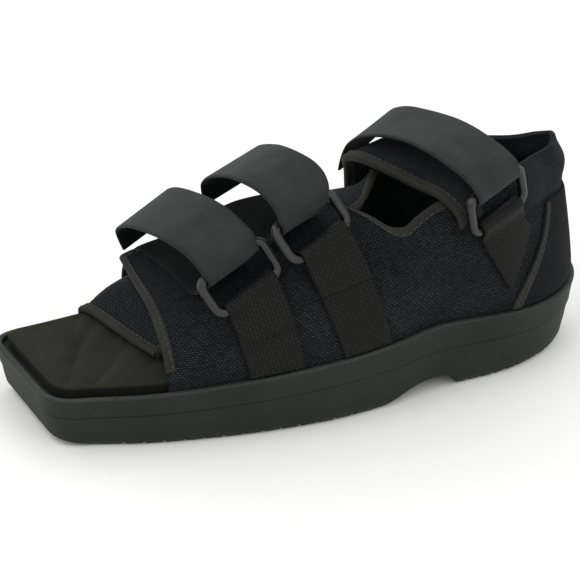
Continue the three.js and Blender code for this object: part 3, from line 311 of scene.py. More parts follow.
@dataclass
class ShoeLast:
    """The form of the shoe, in millimetres, from a few driving sizes and the tables above."""

    sole_length: float = 296.0
    ball_width: float = 107.4
    rim_height: float = 39.3
    collar_height: float = 109.0
    toe_slant: float = 0.104
    toe_reach: float = 0.6
    corner_radius: float = 14.0
    side_share: float = 0.37
    heel_roundness: float = 2.0
    rim_wall: float = 3.0
    tray_depth: float = 3.0
    wall_gap: float = 0.4
    upper_wall: float = 2.2
    insole_rise: float = 3.8
    insole_gap: float = 0.3
    lap_gap: float = 4.6
    collar_pad: float = 3.2
    collar_drop: float = 11.0
    collar_spread: float = 7.0
    walls: Table = field(init=False)

    def __post_init__(self) -> None:
        """Works out the toe corners and the order of the wall's sections."""
        self.heel_start = OUTLINE.rows[0][0] * self.sole_length
        self.heel_reach = self.heel_start + self.sole_length / 2
        self.toe_x = self.sole_length / 2 + self.toe_reach
        self.wall_inset = self.rim_wall + self.wall_gap
        self.corners = {side: self.toe_corner(side) for side in Side}
        self.near_start = self.corners[Side.NEAR][0] - self.corner_radius
        self.far_start = self.corners[Side.FAR][0] - self.corner_radius
        rows = [(self.place(Side.NEAR, r[0]), *r[1:]) for r in NEAR_WALL]
        rows += [(self.side_share + (1 - 2 * self.side_share) * r[0], *r[1:]) for r in HEEL_WALL]
        rows += [(self.place(Side.FAR, r[0]), *r[1:]) for r in FAR_WALL]
        self.walls = Table(("place", *WALL_COLUMNS[1:]), tuple(rows))
        self.start, self.end = rows[0][0], rows[-1][0]

    def place(self, side: Side, along: float) -> float:
        """Gives the share of the way round for a place on a side.

        Args:
            side: The near or the far side.
            along: Share of the sole's length from its middle.

        Returns:
            0 at the near toe corner, 0.5 at the heel and 1 at the far toe corner.
        """
        x = along * self.sole_length
        if side is Side.NEAR:
            return self.side_share * (self.near_start - x) / (self.near_start - self.heel_start)
        return 1 - self.side_share * (self.far_start - x) / (self.far_start - self.heel_start)

    def rim_top(self, x: Any) -> np.ndarray:
        """Gives the height of the sole's rim at x."""
        return self.rim_height * RIM.blend("height", np.asarray(x) / self.sole_length)

    def crown_line(self, x: Any) -> np.ndarray:
        """Gives the height of the upper's top line at x."""
        return self.collar_height * CROWN.blend("height", np.asarray(x) / self.sole_length)

    def side_y(self, x: Any, side: Side) -> np.ndarray:
        """Gives the rim's y on one side at x."""
        half = self.ball_width * OUTLINE.blend(side.value, np.asarray(x) / self.sole_length)
        return half if side is Side.NEAR else -half

    def toe_corner(self, side: Side) -> tuple[float, float]:
        """Finds where a side would meet the slanted toe line."""
        x = self.toe_x
        for _ in range(4):
            x = self.toe_x - self.toe_slant * float(self.side_y(x, side))
        return x, float(self.side_y(x, side))

    def rim_edge(self, t: Any) -> np.ndarray:
        """Gives the rim's outer edge round the shoe.

        Args:
            t: Shares of the way round.

        Returns:
            Points in plan, one for each share.
        """
        t = np.asarray(t, float)
        near_x = mix(self.near_start, self.heel_start, t / self.side_share)
        far_x = mix(self.heel_start, self.far_start, (t - 1 + self.side_share) / self.side_share)
        turn = np.clip(np.pi * (t - self.side_share) / (1 - 2 * self.side_share), 0, np.pi)
        power = 2 / self.heel_roundness
        heel_x = self.heel_start - self.heel_reach * np.sin(turn) ** power
        across = np.abs(np.cos(turn)) ** power
        near_end, far_end = (float(self.side_y(self.heel_start, s)) for s in Side)
        heel_y = np.where(turn < np.pi / 2, near_end, far_end) * across
        on_near, on_far = t <= self.side_share, t >= 1 - self.side_share
        x = np.where(on_near, near_x, np.where(on_far, far_x, heel_x))
        near_y, far_y = self.side_y(near_x, Side.NEAR), self.side_y(far_x, Side.FAR)
        y = np.where(on_near, near_y, np.where(on_far, far_y, heel_y))
        return np.stack([x, y], axis=-1)

    def profiles(self, t: np.ndarray) -> Profiles:
        """Works out the wall's sections.

        Args:
            t: Shares of the way round.

        Returns:
            The sections, one for each share.
        """
        rim = self.rim_edge(t)
        ahead, behind = self.rim_edge(np.clip(t + 0.002, 0, 1)), self.rim_edge(np.clip(t - 0.002, 0, 1))
        run = unit(ahead - behind)
        inward = np.column_stack([-run[:, 1], run[:, 0]])
        value = {name: self.walls.blend(name, t) for name in WALL_COLUMNS[1:]}
        direction = unit(inward + np.column_stack([value["slant"], np.zeros(len(t))]))
        foot = rim + inward * self.wall_inset
        low = self.rim_top(rim[:, 0])
        base = low + self.insole_rise + self.wall_gap
        reach, edge = self.ball_width * value["reach"], self.ball_width * value["edge"]
        power, lean = value["power"], self.ball_width * value["lean"]
        short = edge < reach
        share = np.clip(edge / reach, 0, 1)
        cut = np.where(short, (1 - (1 - share) ** power) ** (1 / power), 1.0)
        top_x = foot[:, 0] + direction[:, 0] * np.minimum(edge, reach)
        top = self.crown_line(top_x) - self.lap_gap * value["sink"]
        height = (top - base) / cut
        last = np.where(short, np.arcsin(np.clip(cut ** (power / 2), 0, 1)), np.pi / 2)
        angle = last[:, None] * np.arange(1, 41)[None, :] / 40
        up = np.sin(angle) ** (2 / power[:, None])
        bulge = lean[:, None] * up * (1 - up)
        wall_in = reach[:, None] * (1 - np.clip(np.cos(angle), 0, 1) ** (2 / power[:, None])) + bulge
        wall_up = base[:, None] + height[:, None] * up
        past = np.arange(1, 17)[None, :] / 16
        flap_in = np.where(short[:, None], wall_in[:, -1:], mix(reach[:, None], edge[:, None], past))
        fall = self.ball_width * value["fall"][:, None] * past ** 2
        flap_up = np.where(short[:, None], wall_up[:, -1:], wall_up[:, -1:] - fall)
        zero = np.zeros((len(t), 1))
        tray = (low - self.tray_depth + self.insole_gap)[:, None]
        ins = np.hstack([zero, zero, wall_in, flap_in])
        ups = np.hstack([tray, base[:, None], wall_up, flap_up])
        steps = np.hypot(np.diff(ins, axis=1), np.diff(ups, axis=1))
        lengths = np.hstack([zero, np.cumsum(steps, axis=1)])
        return Profiles(foot, direction, ins, ups, lengths)

    def wall(self, t: Any, distance: Any) -> tuple[np.ndarray, np.ndarray]:
        """Gives points on the upper's outer surface, with their outward normals.

        Args:
            t: Shares of the way round.
            distance: Millimetres along the wall from its foot.

        Returns:
            Points and normals, shaped as the inputs with one more axis.
        """
        t, distance = np.broadcast_arrays(np.asarray(t, float), np.asarray(distance, float))
        shape = t.shape
        flat_t, flat_d = t.ravel(), distance.ravel()
        here = self.profiles(flat_t)
        at = np.clip(flat_d, 0, here.total)
        upward = here.point(at + 0.4) - here.point(at - 0.4)
        share = at / here.total
        ahead = self.profiles(np.clip(flat_t + 0.0015, 0, 1))
        behind = self.profiles(np.clip(flat_t - 0.0015, 0, 1))
        around = ahead.point(share * ahead.total) - behind.point(share * behind.total)
        out = unit(np.cross(around, upward))
        return here.point(at).reshape(*shape, 3), out.reshape(*shape, 3)

    def wall_at_height(self, t: np.ndarray, z: np.ndarray) -> tuple[np.ndarray, np.ndarray]:
        """Gives the wall's points and normals at given heights."""
        return self.wall(t, self.profiles(t).distance_at(z))

    def wall_beside(self, x: Any, z: Any, side: Side) -> tuple[np.ndarray, np.ndarray]:
        """Finds the wall on one side at a place along the shoe and a height.

        Args:
            x: Places along the shoe.
            z: Heights above the floor.
            side: The near or the far side.

        Returns:
            Points and normals, one for each pair.
        """
        x, z = (np.atleast_1d(v).astype(float) for v in np.broadcast_arrays(x, z))
        near = side is Side.NEAR
        low, high = np.full(x.shape, 0.01 if near else 0.5), np.full(x.shape, 0.5 if near else 0.999)
        for _ in range(24):
            t = (low + high) / 2
            sections = self.profiles(t)
            found = sections.point(sections.distance_at(z))[:, 0]
            onward = found > x if near else found < x
            low, high = np.where(onward, t, low), np.where(onward, high, t)
        return self.wall_at_height((low + high) / 2, z)

    def flap_top(self, x: Any, y: Any) -> np.ndarray:
        """Gives the height of the outer flap's top, or nothing past its free edge.

        Args:
            x: Places along the shoe.
            y: Places across the shoe.

        Returns:
            Heights, with nan where the flap doesn't reach.
        """
        x, y = (np.atleast_1d(v).astype(float) for v in np.broadcast_arrays(x, y))
        low = np.full(x.shape, self.start)
        high = np.full(x.shape, self.place(Side.NEAR, -0.13))
        for _ in range(22):
            t = (low + high) / 2
            p = self.profiles(t)
            inward = (y - p.foot[:, 1]) / p.direction[:, 1]
            onward = p.foot[:, 0] + p.direction[:, 0] * inward > x
            low, high = np.where(onward, t, low), np.where(onward, high, t)
        z = np.array([np.interp(i, p.inward[k, 1:], p.height[k, 1:]) for k, i in enumerate(inward)])
        return np.where(inward > p.inward[:, -1], np.nan, z)

    def flap_edge(self, x: Any) -> np.ndarray:
        """Finds where the outer flap's free edge lies on the far side at x."""
        x = np.atleast_1d(x).astype(float)
        edge = np.zeros(x.shape)
        for _ in range(60):
            edge = np.where(np.isnan(self.flap_top(x, edge - 1)), edge, edge - 1)
        return edge

    def collar_swell(self, t: Any, below: Any) -> np.ndarray:
        """Gives how far the padded collar swells, by place and distance below its edge."""
        round_heel = np.sin(np.pi * np.clip((np.asarray(t) - 0.33) / 0.34, 0, 1))
        share = np.minimum(1, 2 * np.maximum(0, round_heel))
        return self.collar_pad * share * np.exp(-(((below - self.collar_drop) / self.collar_spread) ** 2))

    def outline(self, fine: int) -> tuple[np.ndarray, np.ndarray]:
        """Gives the closed outline of the rim and its inward directions.

        Args:
            fine: How many points stand for each of the plain outline's steps.

        Returns:
            Points from the middle of the toe line round the near side, and inward unit vectors.
        """
        near, far = (np.array(self.corners[s]) for s in Side)
        first, last = self.rim_edge(0.0), self.rim_edge(1.0)

        def on_toe(y: float) -> np.ndarray:
            """Gives the toe line's point at a place across the shoe."""
            return np.array([self.toe_x - self.toe_slant * y, y])

        def line(a: np.ndarray, b: np.ndarray, count: int) -> np.ndarray:
            """Steps straight from a towards b."""
            s = np.arange(count)[:, None] / count
            return mix(a, b, s)

        def corner(a: np.ndarray, b: np.ndarray, c: np.ndarray, count: int) -> np.ndarray:
            """Steps round a corner b from a towards c."""
            s = np.arange(count)[:, None] / count
            return a * (1 - s) ** 2 + 2 * b * s * (1 - s) + c * s * s

        middle = on_toe((near[1] + far[1]) / 2)
        near_front, far_front = on_toe(near[1] - self.corner_radius), on_toe(far[1] + self.corner_radius)
        share = self.side_share
        sides = 24 * fine
        points = np.vstack([
            line(middle, near_front, 3 * fine),
            corner(near_front, near, first, 6 * fine),
            self.rim_edge(share * np.arange(sides) / sides),
            self.rim_edge(mix(share, 1 - share, np.arange(sides) / sides)),
            self.rim_edge(mix(1 - share, 1, np.arange(sides) / sides)),
            corner(last, far, far_front, 6 * fine),
            line(far_front, middle, 3 * fine),
        ])
        run = unit(np.roll(points, -1, axis=0) - np.roll(points, 1, axis=0))
        return points, np.column_stack([-run[:, 1], run[:, 0]])


# Bodies


@dataclass
class Body:
    """Points, faces, finish numbers and cloth places of one closed body, in millimetres."""

    points: np.ndarray
    faces: list[tuple[int, ...]]
    slots: list[int]
    cloth: np.ndarray


def closed_sheet(outer: np.ndarray, inner: np.ndarray, cloth: np.ndarray) -> Body:
    """Closes two matching grids of points into a sheet.

    Args:
        outer: Grid of points on one face.
        inner: Grid of points on the other face.
        cloth: Place of each grid point on the cloth.

    Returns:
        A body whose inner face and edges take the second finish.
    """
    rows, columns = outer.shape[:2]
    size = rows * columns
    faces: list[tuple[int, ...]] = []
    slots: list[int] = []
    for i in range(rows - 1):
        for j in range(columns - 1):
            a = i * columns + j
            b, c, d = a + columns, a + columns + 1, a + 1
            faces += [(a, b, c, d), (size + a, size + d, size + c, size + b)]
            slots += [0, 1]
    rim = [(i, 0) for i in range(rows)] + [(rows - 1, j) for j in range(1, columns)]
    rim += [(i, columns - 1) for i in range(rows - 2, -1, -1)] + [(0, j) for j in range(columns - 2, 0, -1)]
    edge = [i * columns + j for i, j in rim]
    for a, b in zip(edge, edge[1:] + edge[:1]):
        faces.append((b, a, size + a, size + b))
        slots.append(1)
    points = np.vstack([outer.reshape(-1, 3), inner.reshape(-1, 3)])
    flat = cloth.reshape(-1, 3)
    return Body(points, faces, slots, np.vstack([flat, flat]))


def swept_body(loops: np.ndarray, cloth: np.ndarray, sides: Sequence[int], closed: bool = False) -> Body:
    """Joins a row of closed section loops into one body.

    Args:
        loops: Points by station and by place round the section.
        cloth: Place of each point on the cloth.
        sides: Finish number of each strip round the section.
        closed: Whether the last station joins the first.

    Returns:
        The body, capped at both ends unless it is closed.
    """
    stations, around = loops.shape[:2]
    faces: list[tuple[int, ...]] = []
    slots: list[int] = []
    for i in range(stations if closed else stations - 1):
        n = (i + 1) % stations
        for k in range(around):
            m = (k + 1) % around
            faces.append((i * around + k, i * around + m, n * around + m, n * around + k))
            slots.append(sides[k])
    if not closed:
        faces.append(tuple(range(around - 1, -1, -1)))
        faces.append(tuple((stations - 1) * around + k for k in range(around)))
        slots += [sides[0], sides[0]]
    return Body(loops.reshape(-1, 3), faces, slots, cloth.reshape(-1, 3))


def joined(bodies: Sequence[Body]) -> Body:
    """Puts several bodies into one."""
    points, faces, slots, cloth, count = [], [], [], [], 0
    for body in bodies:
        points.append(body.points)
        cloth.append(body.cloth)
        faces += [tuple(i + count for i in face) for face in body.faces]
        slots += body.slots
        count += len(body.points)
    return Body(np.vstack(points), faces, slots, np.vstack(cloth))


def faced_out(body: Body) -> Body:
    """Turns a body's faces outwards where they point in."""
    volume = 0.0
    for face in body.faces:
        a = body.points[face[0]]
        for j in range(1, len(face) - 1):
            volume += float(np.dot(a, np.cross(body.points[face[j]], body.points[face[j + 1]])))
    if volume < 0:
        body.faces = [tuple(reversed(face)) for face in body.faces]
    return body


@dataclass
class Bench:
    """Where bodies become Blender objects in the frame's place."""

    last: ShoeLast

    def __post_init__(self) -> None:
        """Finds how far the frame lies from the last's own zero."""
        low, high = (np.array(v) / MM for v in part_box("sole"))
        points, _ = self.last.outline(4)
        middle = (points.min(axis=0) + points.max(axis=0)) / 2
        self.shift = np.array([*((low + high)[:2] / 2 - middle), 0.0])

    def placed(self, points: Any) -> np.ndarray:
        """Turns the last's millimetres into the frame's metres."""
        return (np.asarray(points, float) + self.shift) * MM

    def make(self, name: str, body: Body, finishes: Sequence[bpy.types.Material], slot: str,
             nodes: Sequence[str] = (), sharp: float = 38.0) -> bpy.types.Object:
        """Makes an object from a body, dresses it and hands it to the frame.

        Args:
            name: The piece's name.
            body: Its points and faces.
            finishes: Its materials, in the order of the body's finish numbers.
            slot: The record's material slot; not used.
            nodes: CAD nodes that it stands for.
            sharp: Degrees from which an edge stays crisp.

        Returns:
            The new object.
        """
        faced_out(body)
        mesh = bpy.data.meshes.new(name)
        mesh.from_pydata(self.placed(body.points).tolist(), [], body.faces)
        place = mesh.attributes.new(CLOTH, "FLOAT_VECTOR", "POINT")
        place.data.foreach_set("vector", body.cloth.astype(np.float32).ravel())
        for finish in finishes:
            mesh.materials.append(finish)
        mesh.polygons.foreach_set("material_index", body.slots)
        mesh.shade_smooth()
        mesh.set_sharp_from_angle(angle=math.radians(sharp))
        mesh.update()
        piece = bpy.data.objects.new(name, mesh)
        bpy.context.scene.collection.objects.link(piece)
        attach(piece, "root")
        if nodes:
            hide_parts(*nodes)
        LOG.info("%s: %d faces", name, len(mesh.polygons))
        return piece


# Finishes


@dataclass
class Paint:
    """One material's node tree, with a single way to add to it."""

    name: str

    def __post_init__(self) -> None:
        """Starts an empty material with its output and shader."""
        self.material = bpy.data.materials.new(self.name)
        self.material.use_nodes = True
        self.tree = self.material.node_tree
        self.tree.nodes.clear()
        self.shader = self.add("ShaderNodeBsdfPrincipled")
        self.add("ShaderNodeOutputMaterial", {"Surface": self.shader.outputs[0]})

    def add(self, kind: str, inputs: Optional[dict[Any, Any]] = None, **settings: Any) -> bpy.types.Node:
        """Adds a node with its settings and its inputs.

        Args:
            kind: Blender's name for the node.
            inputs: Values or sockets, by input name or number.
            **settings: The node's own properties.

        Returns:
            The new node.
        """
        node = self.tree.nodes.new(kind)
        for name, value in settings.items():
            setattr(node, name, value)
        self.feed(node, inputs or {})
        return node

    def feed(self, node: bpy.types.Node, inputs: dict[Any, Any]) -> None:
        """Sets a node's inputs to values or links them to sockets."""
        for name, value in inputs.items():
            if isinstance(value, bpy.types.NodeSocket):
                self.tree.links.new(value, node.inputs[name])
            else:
                node.inputs[name].default_value = value


@dataclass(frozen=True)
class Wrinkle:
    """One soft trough with a low ridge beside it."""

    x: float
    y: float
    angle: float
    length: float
    width: float
    depth: float

    def lift(self, x: np.ndarray, y: np.ndarray) -> np.ndarray:
        """Gives how far the trough and its ridge move each point.

        Args:
            x: First place of each point.
            y: Second place of each point.

        Returns:
            Millimetres along the surface's normal.
        """
        c, s = math.cos(math.radians(self.angle)), math.sin(math.radians(self.angle))
        along = (x - self.x) * c + (y - self.y) * s
        aside = -(x - self.x) * s + (y - self.y) * c
        aside = aside + 0.12 * self.width * np.sin(along / self.length * 4)
        reach = np.exp(-((along / (0.5 * self.length)) ** 4))
        trough = -np.exp(-((aside / self.width) ** 2))
        ridge = 0.55 * np.exp(-(((aside - 1.7 * self.width) / (1.1 * self.width)) ** 2))
        return self.depth * reach * (trough + ridge)


@dataclass(frozen=True)
class MouldedFoamRubber:
    """Foamed rubber from a mould: dull, finely pebbled, with a painted highlight along the rim's top lip and a paler
    band along its foot.
    """

    colour: str = "#1c201d"
    # Pale colour painted as a highlight along the rim's top lip, and as a paler band along the foot.
    lip_highlight_and_foot_colour: str = "#3a3e38"
    pebble_mm: float = 0.9
    cloud_mm: float = 38.0
    roughness: float = 0.62

    def material(self) -> bpy.types.Material:
        """Builds the material; the cloth place's third number is 1 along the rim's top lip, where a highlight is
        painted, and raised near the floor, where the foot is painted paler.
        """
        p = Paint("moulded_foam_rubber")
        place = p.add("ShaderNodeTexCoord").outputs["Object"]
        pebble = p.add("ShaderNodeTexNoise", {"Vector": place, "Scale": 1 / (self.pebble_mm * MM), "Detail": 3.0})
        cloud = p.add("ShaderNodeTexNoise", {"Vector": place, "Scale": 1 / (self.cloud_mm * MM), "Detail": 2.0})
        highlight_and_foot_parts = p.add("ShaderNodeSeparateXYZ", {
            0: p.add("ShaderNodeAttribute", attribute_name=CLOTH).outputs["Vector"]})
        tone = p.add("ShaderNodeMapRange", {0: cloud.outputs[0], 1: 0.3, 2: 0.7, 3: 0.82, 4: 1.16})
        speck = p.add("ShaderNodeMapRange", {0: pebble.outputs[0], 1: 0.35, 2: 0.72, 3: 0.85, 4: 1.35})
        both = p.add("ShaderNodeMath", {0: tone.outputs[0], 1: speck.outputs[0]}, operation="MULTIPLY")
        # Painted highlight: the rim's top lip goes towards the pale colour, and the foot near the floor is paler too.
        highlight_and_foot_share = p.add("ShaderNodeMath", {0: highlight_and_foot_parts.outputs[2], 1: pebble.outputs[0]}, operation="MULTIPLY")
        base = p.add("ShaderNodeMix", {0: highlight_and_foot_share.outputs[0], 6: linear(self.colour), 7: linear(self.lip_highlight_and_foot_colour)},
                     data_type="RGBA")
        shade = p.add("ShaderNodeMix", {0: 1.0, 6: base.outputs[2], 7: both.outputs[0]}, data_type="RGBA",
                      blend_type="MULTIPLY")
        bump = p.add("ShaderNodeBump", {"Strength": 0.45, "Distance": 0.12 * MM, "Height": pebble.outputs[0]})
        gloss = p.add("ShaderNodeMapRange", {0: pebble.outputs[0], 3: self.roughness - 0.08, 4: self.roughness + 0.1})
        p.feed(p.shader, {"Base Color": shade.outputs[2], "Roughness": gloss.outputs[0], "Normal": bump.outputs[0],
                          "Specular IOR Level": 0.22})
        return p.material


@dataclass(frozen=True)
class FoamBoard:
    """Closed-cell foam board with a brushed skin: matt, with fine pits; its side is painted darker as shade."""

    colour: str = "#23251c"
    # Painted shade for the insole's side, which sits in shadow below the rim.
    side_shade_colour: str = "#11120d"
    pit_mm: float = 0.7
    cloud_mm: float = 22.0

    def material(self) -> bpy.types.Material:
        """Builds the material; the cloth place's third number is the depth below the top, which darkens the side with
        painted shade.
        """
        p = Paint("foam_board")
        place = p.add("ShaderNodeTexCoord").outputs["Object"]
        pit = p.add("ShaderNodeTexNoise", {"Vector": place, "Scale": 1 / (self.pit_mm * MM), "Detail": 4.0})
        cloud = p.add("ShaderNodeTexNoise", {"Vector": place, "Scale": 1 / (self.cloud_mm * MM), "Detail": 3.0})
        depth = p.add("ShaderNodeSeparateXYZ", {
            0: p.add("ShaderNodeAttribute", attribute_name=CLOTH).outputs["Vector"]})
        # Painted shade: the side below the top goes towards the dark colour.
        side = p.add("ShaderNodeMapRange", {0: depth.outputs[2], 1: 0.25, 2: 1.2})
        tone = p.add("ShaderNodeMapRange", {0: cloud.outputs[0], 1: 0.3, 2: 0.7, 3: 0.8, 4: 1.2})
        speck = p.add("ShaderNodeMapRange", {0: pit.outputs[0], 1: 0.3, 2: 0.7, 3: 0.8, 4: 1.22})
        both = p.add("ShaderNodeMath", {0: tone.outputs[0], 1: speck.outputs[0]}, operation="MULTIPLY")
        base = p.add("ShaderNodeMix", {0: side.outputs[0], 6: linear(self.colour), 7: linear(self.side_shade_colour)},
                     data_type="RGBA")
        shade = p.add("ShaderNodeMix", {0: 1.0, 6: base.outputs[2], 7: both.outputs[0]}, data_type="RGBA",
                      blend_type="MULTIPLY")
        bump = p.add("ShaderNodeBump", {"Strength": 0.5, "Distance": 0.15 * MM, "Height": pit.outputs[0]})
        p.feed(p.shader, {"Base Color": shade.outputs[2], "Roughness": 0.86, "Normal": bump.outputs[0],
                          "Sheen Weight": 0.02, "Sheen Roughness": 0.5, "Specular IOR Level": 0.12})
        return p.material


@dataclass(frozen=True)
class SpacerMesh:
    """Knitted spacer mesh over foam: pale loops in rows between small dark openings, in upright wales."""

    thread: str = "#2a3134"
    back_thread: str = "#13171a"
    opening: str = "#050708"
    stitch_mm: float = 2.0
    course_mm: float = 1.1

    def material(self) -> bpy.types.Material:
        """Builds the material on the cloth's own millimetres."""
        p = Paint("spacer_mesh")
        place = p.add("ShaderNodeAttribute", attribute_name=CLOTH).outputs["Vector"]
        wobble = p.add("ShaderNodeTexNoise", {"Vector": place, "Scale": 0.35, "Detail": 1.0})
        warped = p.add("ShaderNodeVectorMath", {0: wobble.outputs["Color"], 1: (0.5, 0.5, 0.0)}, operation="MULTIPLY")
        knit = p.add("ShaderNodeVectorMath", {0: place, 1: warped.outputs[0]}, operation="ADD")
        loops = p.add("ShaderNodeTexBrick", {
            "Vector": knit.outputs[0], "Color1": linear(self.thread), "Color2": linear(self.back_thread),
            "Mortar": linear(self.opening), "Scale": 1.0, "Mortar Size": 0.34, "Mortar Smooth": 0.55, "Bias": -0.2,
            "Brick Width": self.stitch_mm, "Row Height": self.course_mm}, offset=0.5)
        cloud = p.add("ShaderNodeTexNoise", {"Vector": place, "Scale": 0.03, "Detail": 3.0})
        tone = p.add("ShaderNodeMapRange", {0: cloud.outputs[0], 1: 0.3, 2: 0.7, 3: 0.72, 4: 1.2})
        shade = p.add("ShaderNodeMix", {0: 1.0, 6: loops.outputs["Color"], 7: tone.outputs[0]}, data_type="RGBA",
                      blend_type="MULTIPLY")
        raised = p.add("ShaderNodeMath", {0: 1.0, 1: loops.outputs["Fac"]}, operation="SUBTRACT")
        bump = p.add("ShaderNodeBump", {"Strength": 0.8, "Distance": 0.35 * MM, "Height": raised.outputs[0]})
        p.feed(p.shader, {"Base Color": shade.outputs[2], "Roughness": 0.78, "Normal": bump.outputs[0],
                          "Sheen Weight": 0.02, "Sheen Roughness": 0.4, "Specular IOR Level": 0.1})
        return p.material


@dataclass(frozen=True)
class RibbedWebbing:
    """Woven nylon webbing: crosswise ribs with a firm selvage along each edge."""

    name: str = "ribbed_webbing"
    colour: str = "#343836"
    valley: str = "#191c1b"
    rib_mm: float = 0.9
    sheen: float = 0.04
    strength: float = 0.4

    def material(self) -> bpy.types.Material:
        """Builds the material; ribs are drawn at twice their real pitch, or they wouldn't show."""
        p = Paint(self.name)
        place = p.add("ShaderNodeAttribute", attribute_name=CLOTH).outputs["Vector"]
        parts = p.add("ShaderNodeSeparateXYZ", {0: place})
        ribs = p.add("ShaderNodeTexWave", {"Vector": place, "Scale": 2 * math.pi / (20 * self.rib_mm),
                                           "Distortion": 0.6, "Detail": 2.0, "Detail Scale": 1.5},
                     wave_type="BANDS", bands_direction="X")
        yarns = p.add("ShaderNodeTexWave", {"Vector": place, "Scale": 2 * math.pi / (20 * 0.9), "Distortion": 0.4},
                      wave_type="BANDS", bands_direction="Y")
        weave = p.add("ShaderNodeMath", {0: yarns.outputs["Fac"], 1: 0.3, 2: ribs.outputs["Fac"]},
                      operation="MULTIPLY_ADD")
        fuzz = p.add("ShaderNodeTexNoise", {"Vector": place, "Scale": 1.6, "Detail": 3.0})
        cloud = p.add("ShaderNodeTexNoise", {"Vector": place, "Scale": 0.06, "Detail": 3.0})
        level = p.add("ShaderNodeMapRange", {0: weave.outputs[0], 1: 0.1, 2: 1.1})
        base = p.add("ShaderNodeMix", {0: level.outputs[0], 6: linear(self.valley), 7: linear(self.colour)},
                     data_type="RGBA")
        tone = p.add("ShaderNodeMapRange", {0: cloud.outputs[0], 1: 0.3, 2: 0.7, 3: 0.8, 4: 1.18})
        speck = p.add("ShaderNodeMapRange", {0: fuzz.outputs[0], 1: 0.3, 2: 0.7, 3: 0.82, 4: 1.2})
        both = p.add("ShaderNodeMath", {0: tone.outputs[0], 1: speck.outputs[0]}, operation="MULTIPLY")
        selvage = p.add("ShaderNodeMapRange", {0: parts.outputs[2], 1: 1.1, 2: 1.7, 3: 0.72, 4: 1.0})
        shaded = p.add("ShaderNodeMath", {0: both.outputs[0], 1: selvage.outputs[0]}, operation="MULTIPLY")
        shade = p.add("ShaderNodeMix", {0: 1.0, 6: base.outputs[2], 7: shaded.outputs[0]}, data_type="RGBA",
                      blend_type="MULTIPLY")
        bump = p.add("ShaderNodeBump", {"Strength": self.strength, "Distance": 0.2 * MM, "Height": weave.outputs[0]})
        p.feed(p.shader, {"Base Color": shade.outputs[2], "Roughness": 0.72, "Normal": bump.outputs[0],
                          "Sheen Weight": self.sheen, "Sheen Roughness": 0.45, "Specular IOR Level": 0.12})
        return p.material


@dataclass(frozen=True)
class BasketWebbing:
    """Coarse polypropylene webbing in a basket weave: small bright pads, brown-black between them."""

    pad: str = "#171816"
    other_pad: str = "#121311"
    gap: str = "#040404"
    pad_mm: float = 1.7

    def material(self) -> bpy.types.Material:
        """Builds the material on the webbing's own millimetres."""
        p = Paint("basket_webbing")
        place = p.add("ShaderNodeAttribute", attribute_name=CLOTH).outputs["Vector"]
        pads = p.add("ShaderNodeTexBrick", {
            "Vector": place, "Color1": linear(self.pad), "Color2": linear(self.other_pad), "Mortar": linear(self.gap),
            "Scale": 1.0, "Mortar Size": 0.3, "Mortar Smooth": 0.6, "Brick Width": 2 * self.pad_mm,
            "Row Height": self.pad_mm}, offset=0.5)
        fuzz = p.add("ShaderNodeTexNoise", {"Vector": place, "Scale": 2.2, "Detail": 2.0})
        speck = p.add("ShaderNodeMapRange", {0: fuzz.outputs[0], 1: 0.3, 2: 0.7, 3: 0.75, 4: 1.3})
        shade = p.add("ShaderNodeMix", {0: 1.0, 6: pads.outputs["Color"], 7: speck.outputs[0]}, data_type="RGBA",
                      blend_type="MULTIPLY")
        raised = p.add("ShaderNodeMath", {0: 1.0, 1: pads.outputs["Fac"]}, operation="SUBTRACT")
        bump = p.add("ShaderNodeBump", {"Strength": 0.75, "Distance": 0.3 * MM, "Height": raised.outputs[0]})
        p.feed(p.shader, {"Base Color": shade.outputs[2], "Roughness": 0.55, "Normal": bump.outputs[0],
                          "Specular IOR Level": 0.14})
        return p.material


@dataclass(frozen=True)
class NappedCloth:
    """Brushed loop cloth: matt, almost black, with a soft pile that catches a little light at its edges."""

    name: str = "napped_cloth"
    colour: str = "#0b0c0d"
    pile: str = "#181a1b"
    pile_mm: float = 0.8
    sheen: float = 0.03

    def material(self) -> bpy.types.Material:
        """Builds the material on the cloth's own millimetres."""
        p = Paint(self.name)
        place = p.add("ShaderNodeTexCoord").outputs["Object"]
        pile = p.add("ShaderNodeTexNoise", {"Vector": place, "Scale": 1 / (self.pile_mm * MM), "Detail": 4.0})
        cloud = p.add("ShaderNodeTexNoise", {"Vector": place, "Scale": 1 / (14 * MM), "Detail": 3.0})
        level = p.add("ShaderNodeMapRange", {0: pile.outputs[0], 1: 0.35, 2: 0.7})
        base = p.add("ShaderNodeMix", {0: level.outputs[0], 6: linear(self.colour), 7: linear(self.pile)},
                     data_type="RGBA")
        tone = p.add("ShaderNodeMapRange", {0: cloud.outputs[0], 1: 0.3, 2: 0.7, 3: 0.8, 4: 1.2})
        shade = p.add("ShaderNodeMix", {0: 1.0, 6: base.outputs[2], 7: tone.outputs[0]}, data_type="RGBA",
                      blend_type="MULTIPLY")
        bump = p.add("ShaderNodeBump", {"Strength": 0.55, "Distance": 0.25 * MM, "Height": pile.outputs[0]})
        p.feed(p.shader, {"Base Color": shade.outputs[2], "Roughness": 0.92, "Normal": bump.outputs[0],
                          "Sheen Weight": self.sheen, "Sheen Roughness": 0.5,
                          "Specular IOR Level": 0.08})
        return p.material


